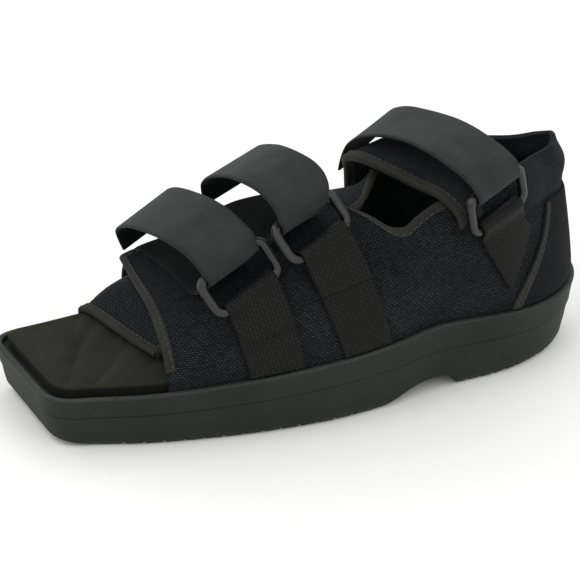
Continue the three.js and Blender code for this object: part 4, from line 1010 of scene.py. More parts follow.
@dataclass(frozen=True)
class MouldedNylon:
    """Injection moulded black nylon: smooth and half glossy, with a faint flow mark in its skin."""

    colour: str = "#0c0c0b"

    def material(self) -> bpy.types.Material:
        """Builds the material."""
        p = Paint("moulded_nylon")
        place = p.add("ShaderNodeTexCoord").outputs["Object"]
        skin = p.add("ShaderNodeTexNoise", {"Vector": place, "Scale": 1 / (1.4 * MM), "Detail": 2.0})
        bump = p.add("ShaderNodeBump", {"Strength": 0.12, "Distance": 0.1 * MM, "Height": skin.outputs[0]})
        gloss = p.add("ShaderNodeMapRange", {0: skin.outputs[0], 3: 0.26, 4: 0.44})
        p.feed(p.shader, {"Base Color": linear(self.colour), "Roughness": gloss.outputs[0], "Normal": bump.outputs[0],
                          "IOR": 1.53})
        return p.material


@dataclass(frozen=True)
class BondedThread:
    """Bonded sewing thread: thin, slightly shiny, twisted."""

    colour: str = "#242624"

    def material(self) -> bpy.types.Material:
        """Builds the material."""
        p = Paint("bonded_thread")
        place = p.add("ShaderNodeTexCoord").outputs["Object"]
        twist = p.add("ShaderNodeTexNoise", {"Vector": place, "Scale": 1 / (0.5 * MM)})
        bump = p.add("ShaderNodeBump", {"Strength": 0.3, "Distance": 0.1 * MM, "Height": twist.outputs[0]})
        p.feed(p.shader, {"Base Color": linear(self.colour), "Roughness": 0.55, "Normal": bump.outputs[0]})
        return p.material


@dataclass(frozen=True)
class StudioFloor:
    """A pale seamless floor."""

    colour: str = "#f4f4f3"

    def material(self) -> bpy.types.Material:
        """Builds the material."""
        p = Paint("studio_floor")
        p.feed(p.shader, {"Base Color": linear(self.colour), "Roughness": 0.8, "Specular IOR Level": 0.1})
        return p.material


@dataclass
class Finishes:
    """Every material of the shoe, built once."""

    def __post_init__(self) -> None:
        """Builds the materials."""
        self.rubber = MouldedFoamRubber().material()
        self.foam = FoamBoard().material()
        self.mesh = SpacerMesh().material()
        self.strap = RibbedWebbing().material()
        self.tape = RibbedWebbing("binding_tape", "#32312d", "#181815", 1.0, 0.03, 0.45).material()
        self.keeper = BasketWebbing().material()
        self.nap = NappedCloth().material()
        self.lining = NappedCloth("collar_lining", "#14191a", "#212627", 1.0, 0.02).material()
        self.counter = NappedCloth("counter_laminate", "#101314", "#171a1b", 0.5, 0.02).material()
        self.nylon = MouldedNylon().material()
        self.thread = BondedThread().material()
        self.floor = StudioFloor().material()


# Threads and bindings


@dataclass
class StitchRow:
    """A row of lock stitches that lies along a path."""

    length: float = 2.7
    gap: float = 1.0
    radius: float = 0.38
    sides: int = 6

    def body(self, path: np.ndarray, out: np.ndarray) -> Body:
        """Lays the stitches along a path.

        Args:
            path: Points of the seam.
            out: The surface's normal at each point.

        Returns:
            One body for each stitch, joined.
        """
        run = np.concatenate([[0], np.cumsum(np.linalg.norm(np.diff(path, axis=0), axis=1))])
        bodies = []
        shares = np.linspace(0, 1, 6)
        for start in np.arange(self.gap, run[-1] - self.length, self.length + self.gap):
            at = start + shares * self.length
            middle = np.stack([np.interp(at, run, path[:, k]) for k in range(3)], axis=1)
            up = unit(np.stack([np.interp(at, run, out[:, k]) for k in range(3)], axis=1))
            along = unit(np.gradient(middle, axis=0))
            aside = unit(np.cross(along, up))
            arch = np.sqrt(np.clip(1 - (2 * shares - 1) ** 4, 0.04, 1))
            middle = middle + up * (self.radius * (1.5 * arch - 0.9))[:, None]
            angle = 2 * np.pi * np.arange(self.sides) / self.sides
            size = self.radius * mix(0.55, 1.0, arch)
            ring = aside[:, None] * np.cos(angle)[None, :, None] + up[:, None] * np.sin(angle)[None, :, None]
            loops = middle[:, None] + ring * size[:, None, None]
            bodies.append(faced_out(swept_body(loops, np.zeros_like(loops), [0] * self.sides)))
        return joined(bodies)


@dataclass
class Binding:
    """Tape folded over a cloth edge."""

    width: float = 5.0
    thickness: float = 0.55
    wall: float = 2.2

    def body(self, faces: np.ndarray, out: np.ndarray, along: np.ndarray) -> Body:
        """Folds the tape over an edge.

        Args:
            faces: Points by station and by step from the tape's outer side to the edge itself.
            out: Normals at the same points.
            along: Millimetres along the edge at each station.

        Returns:
            The tape as one closed body.
        """
        steps = faces.shape[1]
        toward = unit(faces[:, -1] - faces[:, -2])
        lift = np.full(steps, self.thickness)
        lift[0] = 0.05
        outer = faces + out * lift[None, :, None]
        inner = faces - out * (self.wall + lift)[None, :, None]
        edge_out, edge = out[:, -1], faces[:, -1]
        turns = np.linspace(0, np.pi, 7)[1:-1]
        half = self.wall / 2
        middle = edge - edge_out * half
        fold = [middle + edge_out * (half + self.thickness) * math.cos(a)
                + toward * (0.45 * half + self.thickness) * math.sin(a) for a in turns]
        back = [middle + edge_out * (half - 0.1) * math.cos(a) for a in turns[::-1]]
        loops = np.concatenate([
            outer, np.stack(fold, axis=1), inner[:, ::-1],
            (faces - out * (self.wall - 0.1))[:, 1:], np.stack(back, axis=1), (faces - out * 0.1)[:, :0:-1],
        ], axis=1)
        around = loops.shape[1]
        across = np.zeros(around)
        across[:2 * steps + len(turns)] = np.linspace(0, 2 * self.width + self.wall, 2 * steps + len(turns))
        cloth = np.zeros_like(loops)
        cloth[..., 0] = along[:, None]
        cloth[..., 1] = across[None, :]
        cloth[..., 2] = 3.0
        return swept_body(loops, cloth, [0] * around)


# Sole and insole


def stacked_body(rings: np.ndarray, top: Callable[[np.ndarray, np.ndarray], np.ndarray], across: int) -> Body:
    """Stacks rings of the outline into a body with a formed top.

    Args:
        rings: Points by level and round the outline, bottom first.
        top: Gives the top's height for places in plan.
        across: Steps across the top.

    Returns:
        The closed body, with a flat bottom.
    """
    levels, count = rings.shape[:2]
    faces: list[tuple[int, ...]] = []
    for level in range(levels - 1):
        for i in range(count):
            j = (i + 1) % count
            a, b = level * count, (level + 1) * count
            faces.append((a + i, a + j, b + j, b + i))
    faces.append(tuple(range(count - 1, -1, -1)))
    points = [rings.reshape(-1, 3)]
    base = (levels - 1) * count
    upper = rings[-1]
    half = count // 2
    shares = np.arange(1, across)[:, None] / across
    rows = []
    size = levels * count
    for i in range(1, half):
        inner = mix(upper[i], upper[count - i], shares)
        inner[:, 2] = top(inner[:, 0], inner[:, 1])
        points.append(inner)
        rows.append([base + i, *range(size, size + across - 1), base + count - i])
        size += across - 1
    for row, after in zip(rows, rows[1:]):
        for k in range(across):
            faces.append((row[k], after[k], after[k + 1], row[k + 1]))
    faces += [(base, rows[0][k], rows[0][k + 1]) for k in range(across)]
    faces += [(rows[-1][k], base + half, rows[-1][k + 1]) for k in range(across)]
    stacked = np.vstack(points)
    return Body(stacked, faces, [0] * len(faces), np.zeros_like(stacked))


@dataclass
class SoleUnit:
    """The moulded sole, with its rim lip, parting line, arch, springs and tread lugs."""

    bench: Bench
    finishes: Finishes
    parting_share: float = 0.62
    parting_step: float = 0.6
    arch_height: float = 8.5
    toe_spring: float = 6.5
    heel_spring: float = 3.0
    groove_width: float = 2.8
    groove_depth: float = 2.2
    forefoot: tuple[float, float, float] = (0.375, -0.030, 9.3)
    heel: tuple[float, float, float] = (-0.232, -0.420, 7.5)
    arch: tuple[tuple[float, float], ...] = (
        (-0.050, 0.0), (-0.075, 0.30), (-0.104, 0.70), (-0.135, 0.96), (-0.155, 1.0), (-0.186, 0.95),
        (-0.203, 0.58), (-0.214, 0.0))
    toe_rows: tuple[tuple[float, float], ...] = (
        (0.385, 0), (0.430, 0.22), (0.470, 0.62), (0.500, 1.0), (0.560, 1.9))
    heel_rows: tuple[tuple[float, float], ...] = ((-0.430, 0), (-0.470, 0.35), (-0.520, 1.30))

    def ring(self, inset: float, share: float, offset: float, fine: int = 4) -> np.ndarray:
        """Gives one ring of the outline at a share of the rim's height plus an offset."""
        last = self.bench.last
        points, inward = last.outline(fine)
        plan = points + inward * inset
        return np.column_stack([plan, last.rim_top(points[:, 0]) * share + offset])

    def bar(self, profile: Sequence[tuple[float, float]]) -> Body:
        """Makes a bar across the sole whose end outline lies upright along the shoe."""
        span = self.bench.last.ball_width
        ends = [np.array([[x, y, z] for x, z in profile]) for y in (-span, span)]
        loops = np.stack(ends)
        return faced_out(swept_body(loops, np.zeros_like(loops), [0] * len(profile)))

    def cutters(self) -> Body:
        """Makes the bars that cut the arch, the springs and the grooves."""
        length = self.bench.last.sole_length
        bodies = []
        springs = (
            (self.arch, self.arch_height), (self.toe_rows, self.toe_spring), (self.heel_rows, self.heel_spring),
        )
        for rows, rise in springs:
            fine = smooth_rows(np.array(rows, float), 4)
            edge = [(x * length, max(z, 0) * rise) for x, z in fine]
            bodies.append(self.bar([(edge[0][0], -rise), *edge, (edge[-1][0], -rise)]))
        half, deep = self.groove_width / 2, self.groove_depth
        for start, stop, pitch in (self.forefoot, self.heel):
            for x in np.arange(start * length, stop * length, -pitch):
                bodies.append(self.bar([(x - half, -1), (x + half, -1), (x + half, 0.3), (x + 0.7 * half, deep),
                                        (x - 0.7 * half, deep), (x - half, 0.3)]))
        return joined(bodies)

    def build(self) -> bpy.types.Object:
        """Builds, cuts and dresses the sole."""
        last = self.bench.last
        part = self.parting_share
        rings = [
            self.ring(8.2, 0, 0), self.ring(7.2, 0, 0.25), self.ring(6.0, 0, 1.3), self.ring(4.6, 0, 4.5),
            self.ring(3.3, 0.35, 0), self.ring(2.2, part, -0.9), self.ring(2.05, part, -0.4),
            self.ring(2.3, part, -0.1), self.ring(2.25, part, 0.1), self.ring(2.1 - self.parting_step, part, 0.45),
            self.ring(1.0, 0.82, -1.0), self.ring(0.4, 1, -3), self.ring(0.1, 1, -1.9), self.ring(0, 1, -1),
            self.ring(0.15, 1, -0.5), self.ring(0.5, 1, -0.15), self.ring(1.2, 1, 0),
            self.ring(last.rim_wall - 0.8, 1, 0), self.ring(last.rim_wall - 0.2, 1, -0.25),
            self.ring(last.rim_wall, 1, -0.7), self.ring(last.rim_wall, 1, -last.tray_depth),
        ]
        body = faced_out(stacked_body(np.stack(rings), lambda x, y: last.rim_top(x) - last.tray_depth, 3))
        meshes = []
        for label, shape in (("sole_blank", body), ("sole_cutters", self.cutters())):
            mesh = bpy.data.meshes.new(label)
            mesh.from_pydata(shape.points.tolist(), [], shape.faces)
            thing = bpy.data.objects.new(label, mesh)
            bpy.context.scene.collection.objects.link(thing)
            meshes.append(thing)
        blank, cutter = meshes
        cut = blank.modifiers.new("tread", "BOOLEAN")
        cut.operation, cut.solver, cut.object = "DIFFERENCE", "EXACT", cutter
        graph = bpy.context.evaluated_depsgraph_get()
        result = bpy.data.meshes.new_from_object(blank.evaluated_get(graph))
        points = np.array([v.co[:] for v in result.vertices])
        faces = [tuple(p.vertices) for p in result.polygons]
        for thing in meshes:
            bpy.data.objects.remove(thing, do_unlink=True)
        bpy.data.meshes.remove(result)
        cloth = np.zeros_like(points)
        below = last.rim_top(points[:, 0]) - points[:, 2]
        # Painted highlight mask: 1 along the rim's top lip, plus a paler band along the foot near the floor.
        cloth[:, 2] = np.clip(1.2 - below, 0, 1) + 0.6 * np.exp(-((points[:, 2] - 0.5) / 1.2) ** 2)
        carved = Body(points, faces, [0] * len(faces), cloth)
        return self.bench.make("sole_unit", carved, [self.finishes.rubber], "sole_rubber", ["sole"], 32)


@dataclass
class Insole:
    """The square-toed foam insole board, softly wrinkled where the toes press."""

    bench: Bench
    finishes: Finishes
    wrinkle_gain: float = 1.9
    deepest: float = -1.4
    highest: float = 0.35
    wrinkles: tuple[Wrinkle, ...] = (
        Wrinkle(128, 12, 62, 34, 2.6, 0.55), Wrinkle(118, -8, 55, 46, 3.0, 0.60), Wrinkle(106, 10, 50, 52, 3.2, 0.55),
        Wrinkle(96, -14, 58, 44, 3.0, 0.50), Wrinkle(134, -22, 70, 26, 2.4, 0.45), Wrinkle(112, -30, 64, 24, 2.2, 0.40),
        Wrinkle(86, 16, 54, 36, 2.8, 0.40), Wrinkle(124, 28, 48, 20, 2.0, 0.35),
    )

    def lift(self, x: np.ndarray, y: np.ndarray) -> np.ndarray:
        """Gives the top's height, with its wrinkles."""
        last = self.bench.last
        soft = sum(w.lift(x, y) for w in self.wrinkles)
        return last.rim_top(x) + last.insole_rise + np.clip(self.wrinkle_gain * soft, self.deepest, self.highest)

    def build(self) -> bpy.types.Object:
        """Builds and dresses the insole."""
        last = self.bench.last
        sole = SoleUnit(self.bench, self.finishes)
        inset = last.wall_inset + last.upper_wall + last.wall_gap
        rise = last.insole_rise
        steps = ((0, last.insole_gap - last.tray_depth), (0, rise - 1.6), (0.12, rise - 0.9), (0.4, rise - 0.4),
                 (0.8, rise - 0.1), (1.4, rise))
        rings = np.stack([sole.ring(inset + aside, 1, up) for aside, up in steps])
        body = stacked_body(rings, self.lift, 46)
        # Depth below the top, which paints shade on the insole's side.
        body.cloth[:, 2] = np.clip(last.rim_top(body.points[:, 0]) + rise - body.points[:, 2] - 0.5, 0, 6)
        return self.bench.make("insole_board", body, [self.finishes.foam], "insole_foam", ["insole"], 60)


# Upper


@dataclass
class UpperShell:
    """The padded mesh shell with its lining, bindings and seams."""

    bench: Bench
    finishes: Finishes
    columns: int = 250
    levels: int = 54
    tape: float = 3.8
    crease_height: float = 85.0
    creases: tuple[Wrinkle, ...] = (
        Wrinkle(0.095, 34, 8, 0.10, 3.2, 1.0), Wrinkle(0.150, 40, -10, 0.09, 3.0, 0.9),
        Wrinkle(0.205, 24, 12, 0.10, 3.4, 1.1), Wrinkle(0.245, 36, -8, 0.08, 2.8, 0.9),
        Wrinkle(0.285, 20, 6, 0.09, 3.2, 0.9), Wrinkle(0.120, 58, 4, 0.08, 2.6, 0.7),
        Wrinkle(0.700, 30, 8, 0.10, 3.2, 1.0), Wrinkle(0.760, 38, -8, 0.09, 3.0, 0.9),
        Wrinkle(0.820, 26, 10, 0.10, 3.2, 0.9), Wrinkle(0.065, 66, -6, 0.06, 2.6, 0.7),
    )

    def around(self, t: np.ndarray) -> np.ndarray:
        """Gives millimetres round the shoe at each share."""
        fine = np.linspace(0, 1, 800)
        edge = self.bench.last.rim_edge(fine)
        run = np.concatenate([[0], np.cumsum(np.hypot(*np.diff(edge, axis=0).T))])
        return np.interp(t, fine, run)

    def soft_lift(self, t: np.ndarray, up: np.ndarray) -> np.ndarray:
        """Gives the folds of the mesh: listed creases over a slow swell of the foam."""
        along = self.around(t)
        total = np.zeros(t.shape)
        for crease in self.creases:
            start = float(self.around(np.array([crease.x]))[0])
            length = crease.length * 420
            shaped = Wrinkle(start, crease.y, 90 + 2.2 * crease.angle, length, crease.width, crease.depth)
            total += shaped.lift(along, up)
        swell = 0.32 * np.sin(along / 17) * np.sin(up / 13 + 1.1) + 0.22 * np.sin(along / 7.3 + up / 9)
        fade = np.clip(up / 8, 0, 1)
        return (0.75 * np.clip(total, -1.0, 0.7) + swell) * fade

    def skin(self, t: np.ndarray, distance: np.ndarray) -> tuple[np.ndarray, np.ndarray, np.ndarray]:
        """Gives the dressed outer skin.

        Args:
            t: Shares of the way round.
            distance: Millimetres from the wall's foot.

        Returns:
            Points, normals and how far the collar swells there.
        """
        last = self.bench.last
        at, out = last.wall(t, distance)
        totals = last.profiles(t.ravel()).total.reshape(t.shape)
        swell = last.collar_swell(t, totals - distance)
        near_edge = np.clip((totals - distance) / 9, 0, 1)
        folds = self.soft_lift(t, distance) * near_edge * np.clip((t - last.start) / 0.02, 0, 1)
        collar = np.clip(1 - abs(t - 0.5) / 0.13, 0, 1) ** 0.5
        dent = -0.9 * collar * np.exp(-(((at[..., 2] - self.crease_height) / 1.7) ** 2))
        return at + out * (swell + folds * 0.8 + dent)[..., None], out, swell

    def shell(self) -> bpy.types.Object:
        """Builds the shell: mesh outside, lining inside and over the collar."""
        last = self.bench.last
        t = np.linspace(last.start, last.end, self.columns)
        sections = last.profiles(t)
        base, total = sections.lengths[:, 1], sections.total
        share = np.linspace(0, 1, self.levels)[None, :]
        distance = np.hstack([np.zeros((len(t), 1)), base[:, None] + (total - base)[:, None] * share])
        grid_t = np.repeat(t[:, None], distance.shape[1], axis=1)
        outer, out, swell = self.skin(grid_t, distance)
        at, _ = last.wall(grid_t, distance)
        inner = at - out * (last.upper_wall + swell * 0.6)[..., None]
        cloth = np.stack([self.around(grid_t), distance, total[:, None] - distance], axis=-1)
        body = closed_sheet(outer, inner, cloth)
        columns = distance.shape[1]
        heel = (grid_t > 0.395) & (grid_t < 0.605)
        collar = (heel & (outer[..., 2] > self.crease_height)) | (
            (grid_t > 0.30) & (grid_t < 0.70) & (total[:, None] - distance < 4.5))
        for i in range(len(t) - 1):
            for j in range(columns - 1):
                if collar[i, j]:
                    body.slots[2 * (i * (columns - 1) + j)] = 1
        return self.bench.make("upper_shell", body, [self.finishes.mesh, self.finishes.lining], "mesh_fabric",
                               ["upper"], 50)

    def top_binding(self, start: float, stop: float, name: str) -> list[bpy.types.Object]:
        """Binds a stretch of the top edge and stitches it.

        Args:
            start: Share of the way round where the tape starts.
            stop: Share where it stops.
            name: The piece's name.

        Returns:
            The tape and its stitches.
        """
        last = self.bench.last
        t = np.linspace(start, stop, 90)
        total = last.profiles(t).total
        steps = np.linspace(self.tape, 0, 6)
        grid_t = np.repeat(t[:, None], len(steps), axis=1)
        faces, out, _ = self.skin(grid_t, total[:, None] - steps[None, :])
        run = np.concatenate([[0], np.cumsum(np.linalg.norm(np.diff(faces[:, 2], axis=0), axis=1))])
        return self.bound(faces, out, run, name)

    def front_binding(self, start: float, step: float, low: float, name: str) -> list[bpy.types.Object]:
        """Binds a front edge of one flap and stitches it.

        Args:
            start: Share of the way round of the free edge.
            step: Which way the cloth lies from the edge, and its share for the tape's width.
            low: Share of the wall's length where the tape starts.
            name: The piece's name.

        Returns:
            The tape and its stitches.
        """
        last = self.bench.last
        lift = np.linspace(low, 0.995, 70)
        steps = np.linspace(1, 0, 6)
        grid_t = start + step * np.repeat(steps[None, :], len(lift), axis=0)
        totals = last.profiles(grid_t.ravel()).total.reshape(grid_t.shape)
        faces, out, _ = self.skin(grid_t, totals * lift[:, None])
        run = np.concatenate([[0], np.cumsum(np.linalg.norm(np.diff(faces[:, 2], axis=0), axis=1))])
        return self.bound(faces, out, run, name)

    def bound(self, faces: np.ndarray, out: np.ndarray, run: np.ndarray, name: str) -> list[bpy.types.Object]:
        """Makes a folded tape and its row of stitches."""
        tape = Binding(self.tape, wall=self.bench.last.upper_wall)
        piece = self.bench.make(name, tape.body(faces, out, run), [self.finishes.tape], "mesh_fabric", (), 50)
        seam = mix(faces[:, 1], faces[:, 2], 0.2) + out[:, 1] * tape.thickness
        thread = self.bench.make(f"{name}_stitches", StitchRow().body(seam, out[:, 1]), [self.finishes.thread],
                                 "mesh_fabric")
        return [piece, thread]

    def build(self) -> list[bpy.types.Object]:
        """Builds the whole upper."""
        last = self.bench.last
        pieces = [self.shell()]
        pieces += self.top_binding(last.start, last.place(Side.NEAR, -0.19), "near_edge_binding")
        pieces += self.top_binding(last.place(Side.FAR, -0.19), last.end, "far_edge_binding")
        pieces += self.front_binding(last.start, 0.0065, 0.12, "near_front_binding")
        pieces += self.front_binding(last.end, -0.0065, 0.14, "far_front_binding")
        return pieces


@dataclass
class HeelCounter:
    """The smooth overlay round the heel, with a double stitched tape on its front edges."""

    bench: Bench
    finishes: Finishes
    start_foot: float = 0.390
    start_top: float = 0.428
    top: float = 84.0
    clear: float = 1.2
    thickness: float = 1.0
    fit_gap: float = 0.35
    tape: float = 4.5
    tape_step: float = 0.8

    def grid(self, share: np.ndarray, rise: np.ndarray, lift: Any) -> tuple[np.ndarray, np.ndarray]:
        """Gives points over the wall.

        Args:
            share: Shares from one front edge to the other.
            rise: Shares from the rim to the counter's top.
            lift: Millimetres off the wall.

        Returns:
            Points and normals.
        """
        last = self.bench.last
        share, rise = np.broadcast_arrays(share, rise)
        start = mix(self.start_foot, self.start_top, rise ** 1.2)
        t = mix(start, 1 - start, share)
        low = last.rim_top(last.rim_edge(t)[..., 0]) + self.clear
        z = mix(low, self.top, rise)
        at, out = last.wall_at_height(t.ravel(), z.ravel())
        swell = last.collar_swell(t.ravel(), (last.crown_line(at[:, 0]) - z.ravel()) * 1.02)
        at = at + out * (swell + np.broadcast_to(lift, share.shape).ravel())[:, None]
        return at.reshape(*share.shape, 3), out.reshape(*share.shape, 3)

    def build(self) -> list[bpy.types.Object]:
        """Builds the counter and its stitches."""
        tape_share = 0.032
        edge = np.array([0, 0.1, 0.5, 0.9, 1.0]) * tape_share
        share = np.concatenate([edge, [tape_share + 0.004], np.linspace(tape_share + 0.012, 1 - tape_share - 0.012, 70),
                                [1 - tape_share - 0.004], 1 - edge[::-1]])
        rise = np.linspace(0, 1, 26)
        taped = (share <= tape_share) | (share >= 1 - tape_share)
        raised = np.where(taped, self.tape_step, 0.0)
        raised[[0, -1]] = 0.2
        lift = (self.fit_gap + self.thickness + raised)[:, None] + np.zeros((1, len(rise)))
        lift[:, -1] -= 0.5
        outer, _ = self.grid(share[:, None], rise[None, :], lift)
        inner, _ = self.grid(share[:, None], rise[None, :], self.fit_gap)
        run = np.concatenate([[0], np.cumsum(np.linalg.norm(np.diff(outer[:, 12], axis=0), axis=1))])
        cloth = np.stack(np.broadcast_arrays(run[:, None], rise[None, :] * 46, 3.0), axis=-1)
        body = closed_sheet(outer, inner, cloth)
        columns = len(rise)
        for i in range(len(share) - 1):
            if taped[i] and taped[i + 1]:
                for j in range(columns - 1):
                    body.slots[2 * (i * (columns - 1) + j)] = 2
        finishes = [self.finishes.counter, self.finishes.lining, self.finishes.tape]
        pieces = [self.bench.make("heel_counter_overlay", body, finishes, "counter_fabric", ["heel_counter"], 40)]
        lift = self.fit_gap + self.thickness + self.tape_step
        rows = []
        fine = np.linspace(0.02, 0.97, 60)
        for place in (0.22, 0.74):
            for share_at in (place * tape_share, 1 - place * tape_share):
                path, out = self.grid(np.array(share_at), fine, lift)
                rows.append(StitchRow(2.4, 0.8, 0.34).body(path, out))
        pieces.append(self.bench.make("counter_stitches", joined(rows), [self.finishes.thread], "counter_fabric"))
        return pieces


# Webbing, rings, keepers, straps and the ankle flap


@dataclass(frozen=True)
class Webbing:
    """A flat band with rounded edges, laid over a row of stations."""

    width: float
    thickness: float
    columns: int = 13

    def section(self) -> tuple[np.ndarray, np.ndarray, list[int]]:
        """Gives the section's places across and through the band, and each strip's finish number."""
        half = self.thickness / 2
        flat = np.linspace(-(self.width / 2 - half), self.width / 2 - half, self.columns)
        turn = np.radians([45, 0, -45])
        reach = self.width / 2 - half
        offset = np.concatenate([flat, reach + half * np.cos(turn), flat[::-1], -reach - half * np.cos(turn)])
        lift = np.concatenate([np.full(self.columns, half), half * np.sin(turn), np.full(self.columns, -half),
                               -half * np.sin(turn)])
        sides = [0] * (self.columns + 1) + [1] * (self.columns + 5)
        return offset, lift, sides[:len(offset)]

    def body(self, grid: np.ndarray, ease: int, padding: float = 0.0) -> Body:
        """Builds the band from its middle surface.

        Args:
            grid: Points by station and by even steps across the band.
            ease: How many times the stations are smoothed.
            padding: Share by which the band's middle is thicker than its edges.

        Returns:
            The band; finish 0 is the side that the section's lift points to.
        """
        for _ in range(ease):
            grid[1:-1] = 0.25 * grid[:-2] + 0.5 * grid[1:-1] + 0.25 * grid[2:]
        along = np.gradient(grid, axis=0)
        across = np.gradient(grid, axis=1)
        normal = unit(np.cross(across, along))
        offset, lift, sides = self.section()
        share = np.clip(offset / self.width + 0.5, 0, 1) * (grid.shape[1] - 1)
        i = np.clip(share.astype(int), 0, grid.shape[1] - 2)
        part = (share - i)[None, :, None]
        middle = mix(grid[:, i], grid[:, i + 1], part)
        facing = unit(mix(normal[:, i], normal[:, i + 1], part))
        crown = 1 + padding * (1 - np.clip(2 * abs(offset) / self.width, 0, 1) ** 4)
        loops = middle + facing * (lift * crown)[None, :, None]
        centre = grid[:, grid.shape[1] // 2]
        run = np.concatenate([[0], np.cumsum(np.linalg.norm(np.diff(centre, axis=0), axis=1))])
        cloth = np.zeros_like(loops)
        cloth[..., 0] = run[:, None]
        cloth[..., 1] = offset[None, :]
        cloth[..., 2] = (self.width / 2 - abs(offset))[None, :]
        return swept_body(loops, cloth, sides)

    def length(self, grid: np.ndarray) -> float:
        """Gives the band's length along its middle."""
        return float(np.linalg.norm(np.diff(grid[:, grid.shape[1] // 2], axis=0), axis=1).sum())


@dataclass(frozen=True)
class RingSeat:
    """Where a ring sits: its lower bar's middle and its three directions."""

    bar: np.ndarray
    side: np.ndarray
    outward: np.ndarray
    low: np.ndarray
    high: np.ndarray


@dataclass
class SideFastening:
    """One ring with its keeper band and its strap."""

    bench: Bench
    finishes: Finishes
    number: int
    along: float
    height: float
    yaw: float
    slope: float
    lean: float
    rise: float
    foot: tuple[float, float, float, float]
    arch: tuple[tuple[float, float, float, float, float], ...]
    layered: bool
    hang: float = 1.6
    ring_length: float = 37.0
    ring_depth: float = 18.5
    ring_bar: float = 4.5
    strap_width: float = 32.0
    strap_thickness: float = 1.8
    keeper_width: float = 29.0
    keeper_thickness: float = 1.4
    keeper_ease: float = 0.9
    fit_gap: float = 0.35
    layer_clear: float = 2.0
    rim_clear: float = 1.2
    turn_back: float = 14.0
    bunched: float = 0.94
    wall_rows: int = 18
    wrap_rows: int = 20
    tail_rows: int = 6
    strap_turn_rows: int = 18
    far_rows: int = 14
    over_rows: int = 22
    keeper_turn: tuple[float, float] = (0.05, 1.2)
    strap_turn: tuple[float, float] = (0.1, 1.0)
    layered_turn: float = 0.36
    keeper_stand: float = 0.25
    tail_spread: float = 0.4
    far_setback: float = 0.03

    def seat(self) -> RingSeat:
        """Works out where the ring sits on the near wall."""
        last = self.bench.last
        at, out = last.wall_beside(self.along * last.sole_length, self.height * last.collar_height, Side.NEAR)
        stand = 2 * self.fit_gap + self.keeper_thickness + self.ring_bar / 2 + self.rise
        bar = axis_of_width(self.yaw, self.slope)
        level = unit(np.cross([0, 0, 1], bar))
        upright = unit(np.cross(bar, level))
        lean = math.radians(self.lean)
        side = upright * math.cos(lean) - level * math.sin(lean)
        low = at[0] + out[0] * stand
        return RingSeat(bar, side, unit(np.cross(side, bar)), low, low + side * self.ring_depth)

    def ring(self, seat: RingSeat) -> bpy.types.Object:
        """Builds the moulded ring, whose bar has a slightly squared section."""
        corner, steps, sides = self.ring_bar, 9, 18
        centre = seat.low + seat.side * self.ring_depth / 2
        places = []
        for quarter, (a, b) in enumerate([(1, 1), (-1, 1), (-1, -1), (1, -1)]):
            for angle in np.pi / 2 * (quarter + np.arange(steps + 1) / steps):
                places.append((a * (self.ring_length / 2 - corner) + corner * math.cos(angle),
                               b * (self.ring_depth / 2 - corner) + corner * math.sin(angle)))
        fine = []
        for (a, b), (c, d) in zip(places, places[1:] + places[:1]):
            parts = 8 if math.hypot(c - a, d - b) > 4 else 1
            fine += [(mix(a, c, k / parts), mix(b, d, k / parts)) for k in range(parts)]
        plan = np.array(fine)
        path = centre + plan[:, :1] * seat.bar + plan[:, 1:] * seat.side
        tangent = unit(np.roll(path, -1, axis=0) - np.roll(path, 1, axis=0))
        aside = unit(np.cross(tangent, seat.outward))
        angle = 2 * np.pi * np.arange(sides) / sides
        squared = 1 / (np.abs(np.cos(angle)) ** 2.6 + np.abs(np.sin(angle)) ** 2.6) ** (1 / 2.6)
        radius = self.ring_bar / 2 * squared * 0.98
        loops = (path[:, None] + aside[:, None] * (radius * np.cos(angle))[None, :, None]
                 + seat.outward * (radius * np.sin(angle))[None, :, None])
        body = swept_body(loops, np.zeros_like(loops), [0] * sides, closed=True)
        return self.bench.make(f"slot_ring_{self.number}", body, [self.finishes.nylon], "ring_plastic",
                               [f"ring_{self.number}"], 60)

    def keeper(self, seat: RingSeat) -> list[bpy.types.Object]:
        """Builds the keeper band, which is folded round the ring's lower bar."""
        last = self.bench.last
        turn = self.ring_bar / 2 + self.fit_gap + self.keeper_thickness / 2
        lift = self.fit_gap + self.keeper_thickness / 2 + self.keeper_stand
        approach = seat.low - seat.side * turn * self.hang
        shares = np.linspace(-0.5, 0.5, 9)
        rear, rear_up, front, front_up = self.foot
        foot_x = mix(rear, front, shares + 0.5) * last.sole_length
        foot_up = mix(rear_up, front_up, shares + 0.5) * last.collar_height

        def on_wall(rise: float, extra: float) -> np.ndarray:
            """Gives one row of points over the wall."""
            x = mix(foot_x, approach[0] + shares * self.keeper_width * seat.bar[0], rise)
            low = last.rim_top(x) + self.rim_clear + foot_up
            z = mix(low, approach[2] + shares * self.keeper_width * seat.bar[2], rise)
            at, out = last.wall_beside(x, z, Side.NEAR)
            return at + out * (lift + extra)

        rows = [on_wall(r, self.keeper_ease * r) for r in np.linspace(0, 1, self.wall_rows)]
        for angle in np.pi * np.linspace(*self.keeper_turn, self.wrap_rows):
            at = seat.low - seat.outward * turn * math.cos(angle) + seat.side * turn * math.sin(angle)
            rows.append(at + shares[:, None] * self.keeper_width * seat.bar)
        back = self.keeper_thickness + self.fit_gap + self.keeper_ease
        span = seat.low[2] - last.rim_height
        for i in np.linspace(0, 2, self.tail_rows):
            rise = 1 - (i + 0.6) * self.turn_back / 2.6 / span
            rows.append(on_wall(rise, back + (2 - i) * self.tail_spread))
        band = Webbing(self.keeper_width, self.keeper_thickness, 11)
        grid = np.stack(rows)
        body = band.body(grid, 1)
        piece = self.bench.make(f"keeper_band_{self.number}", body, [self.finishes.keeper] * 2, "keeper_webbing",
                                [f"keeper_{self.number}"], 50)
        band.length(grid) * MM
        return [piece]

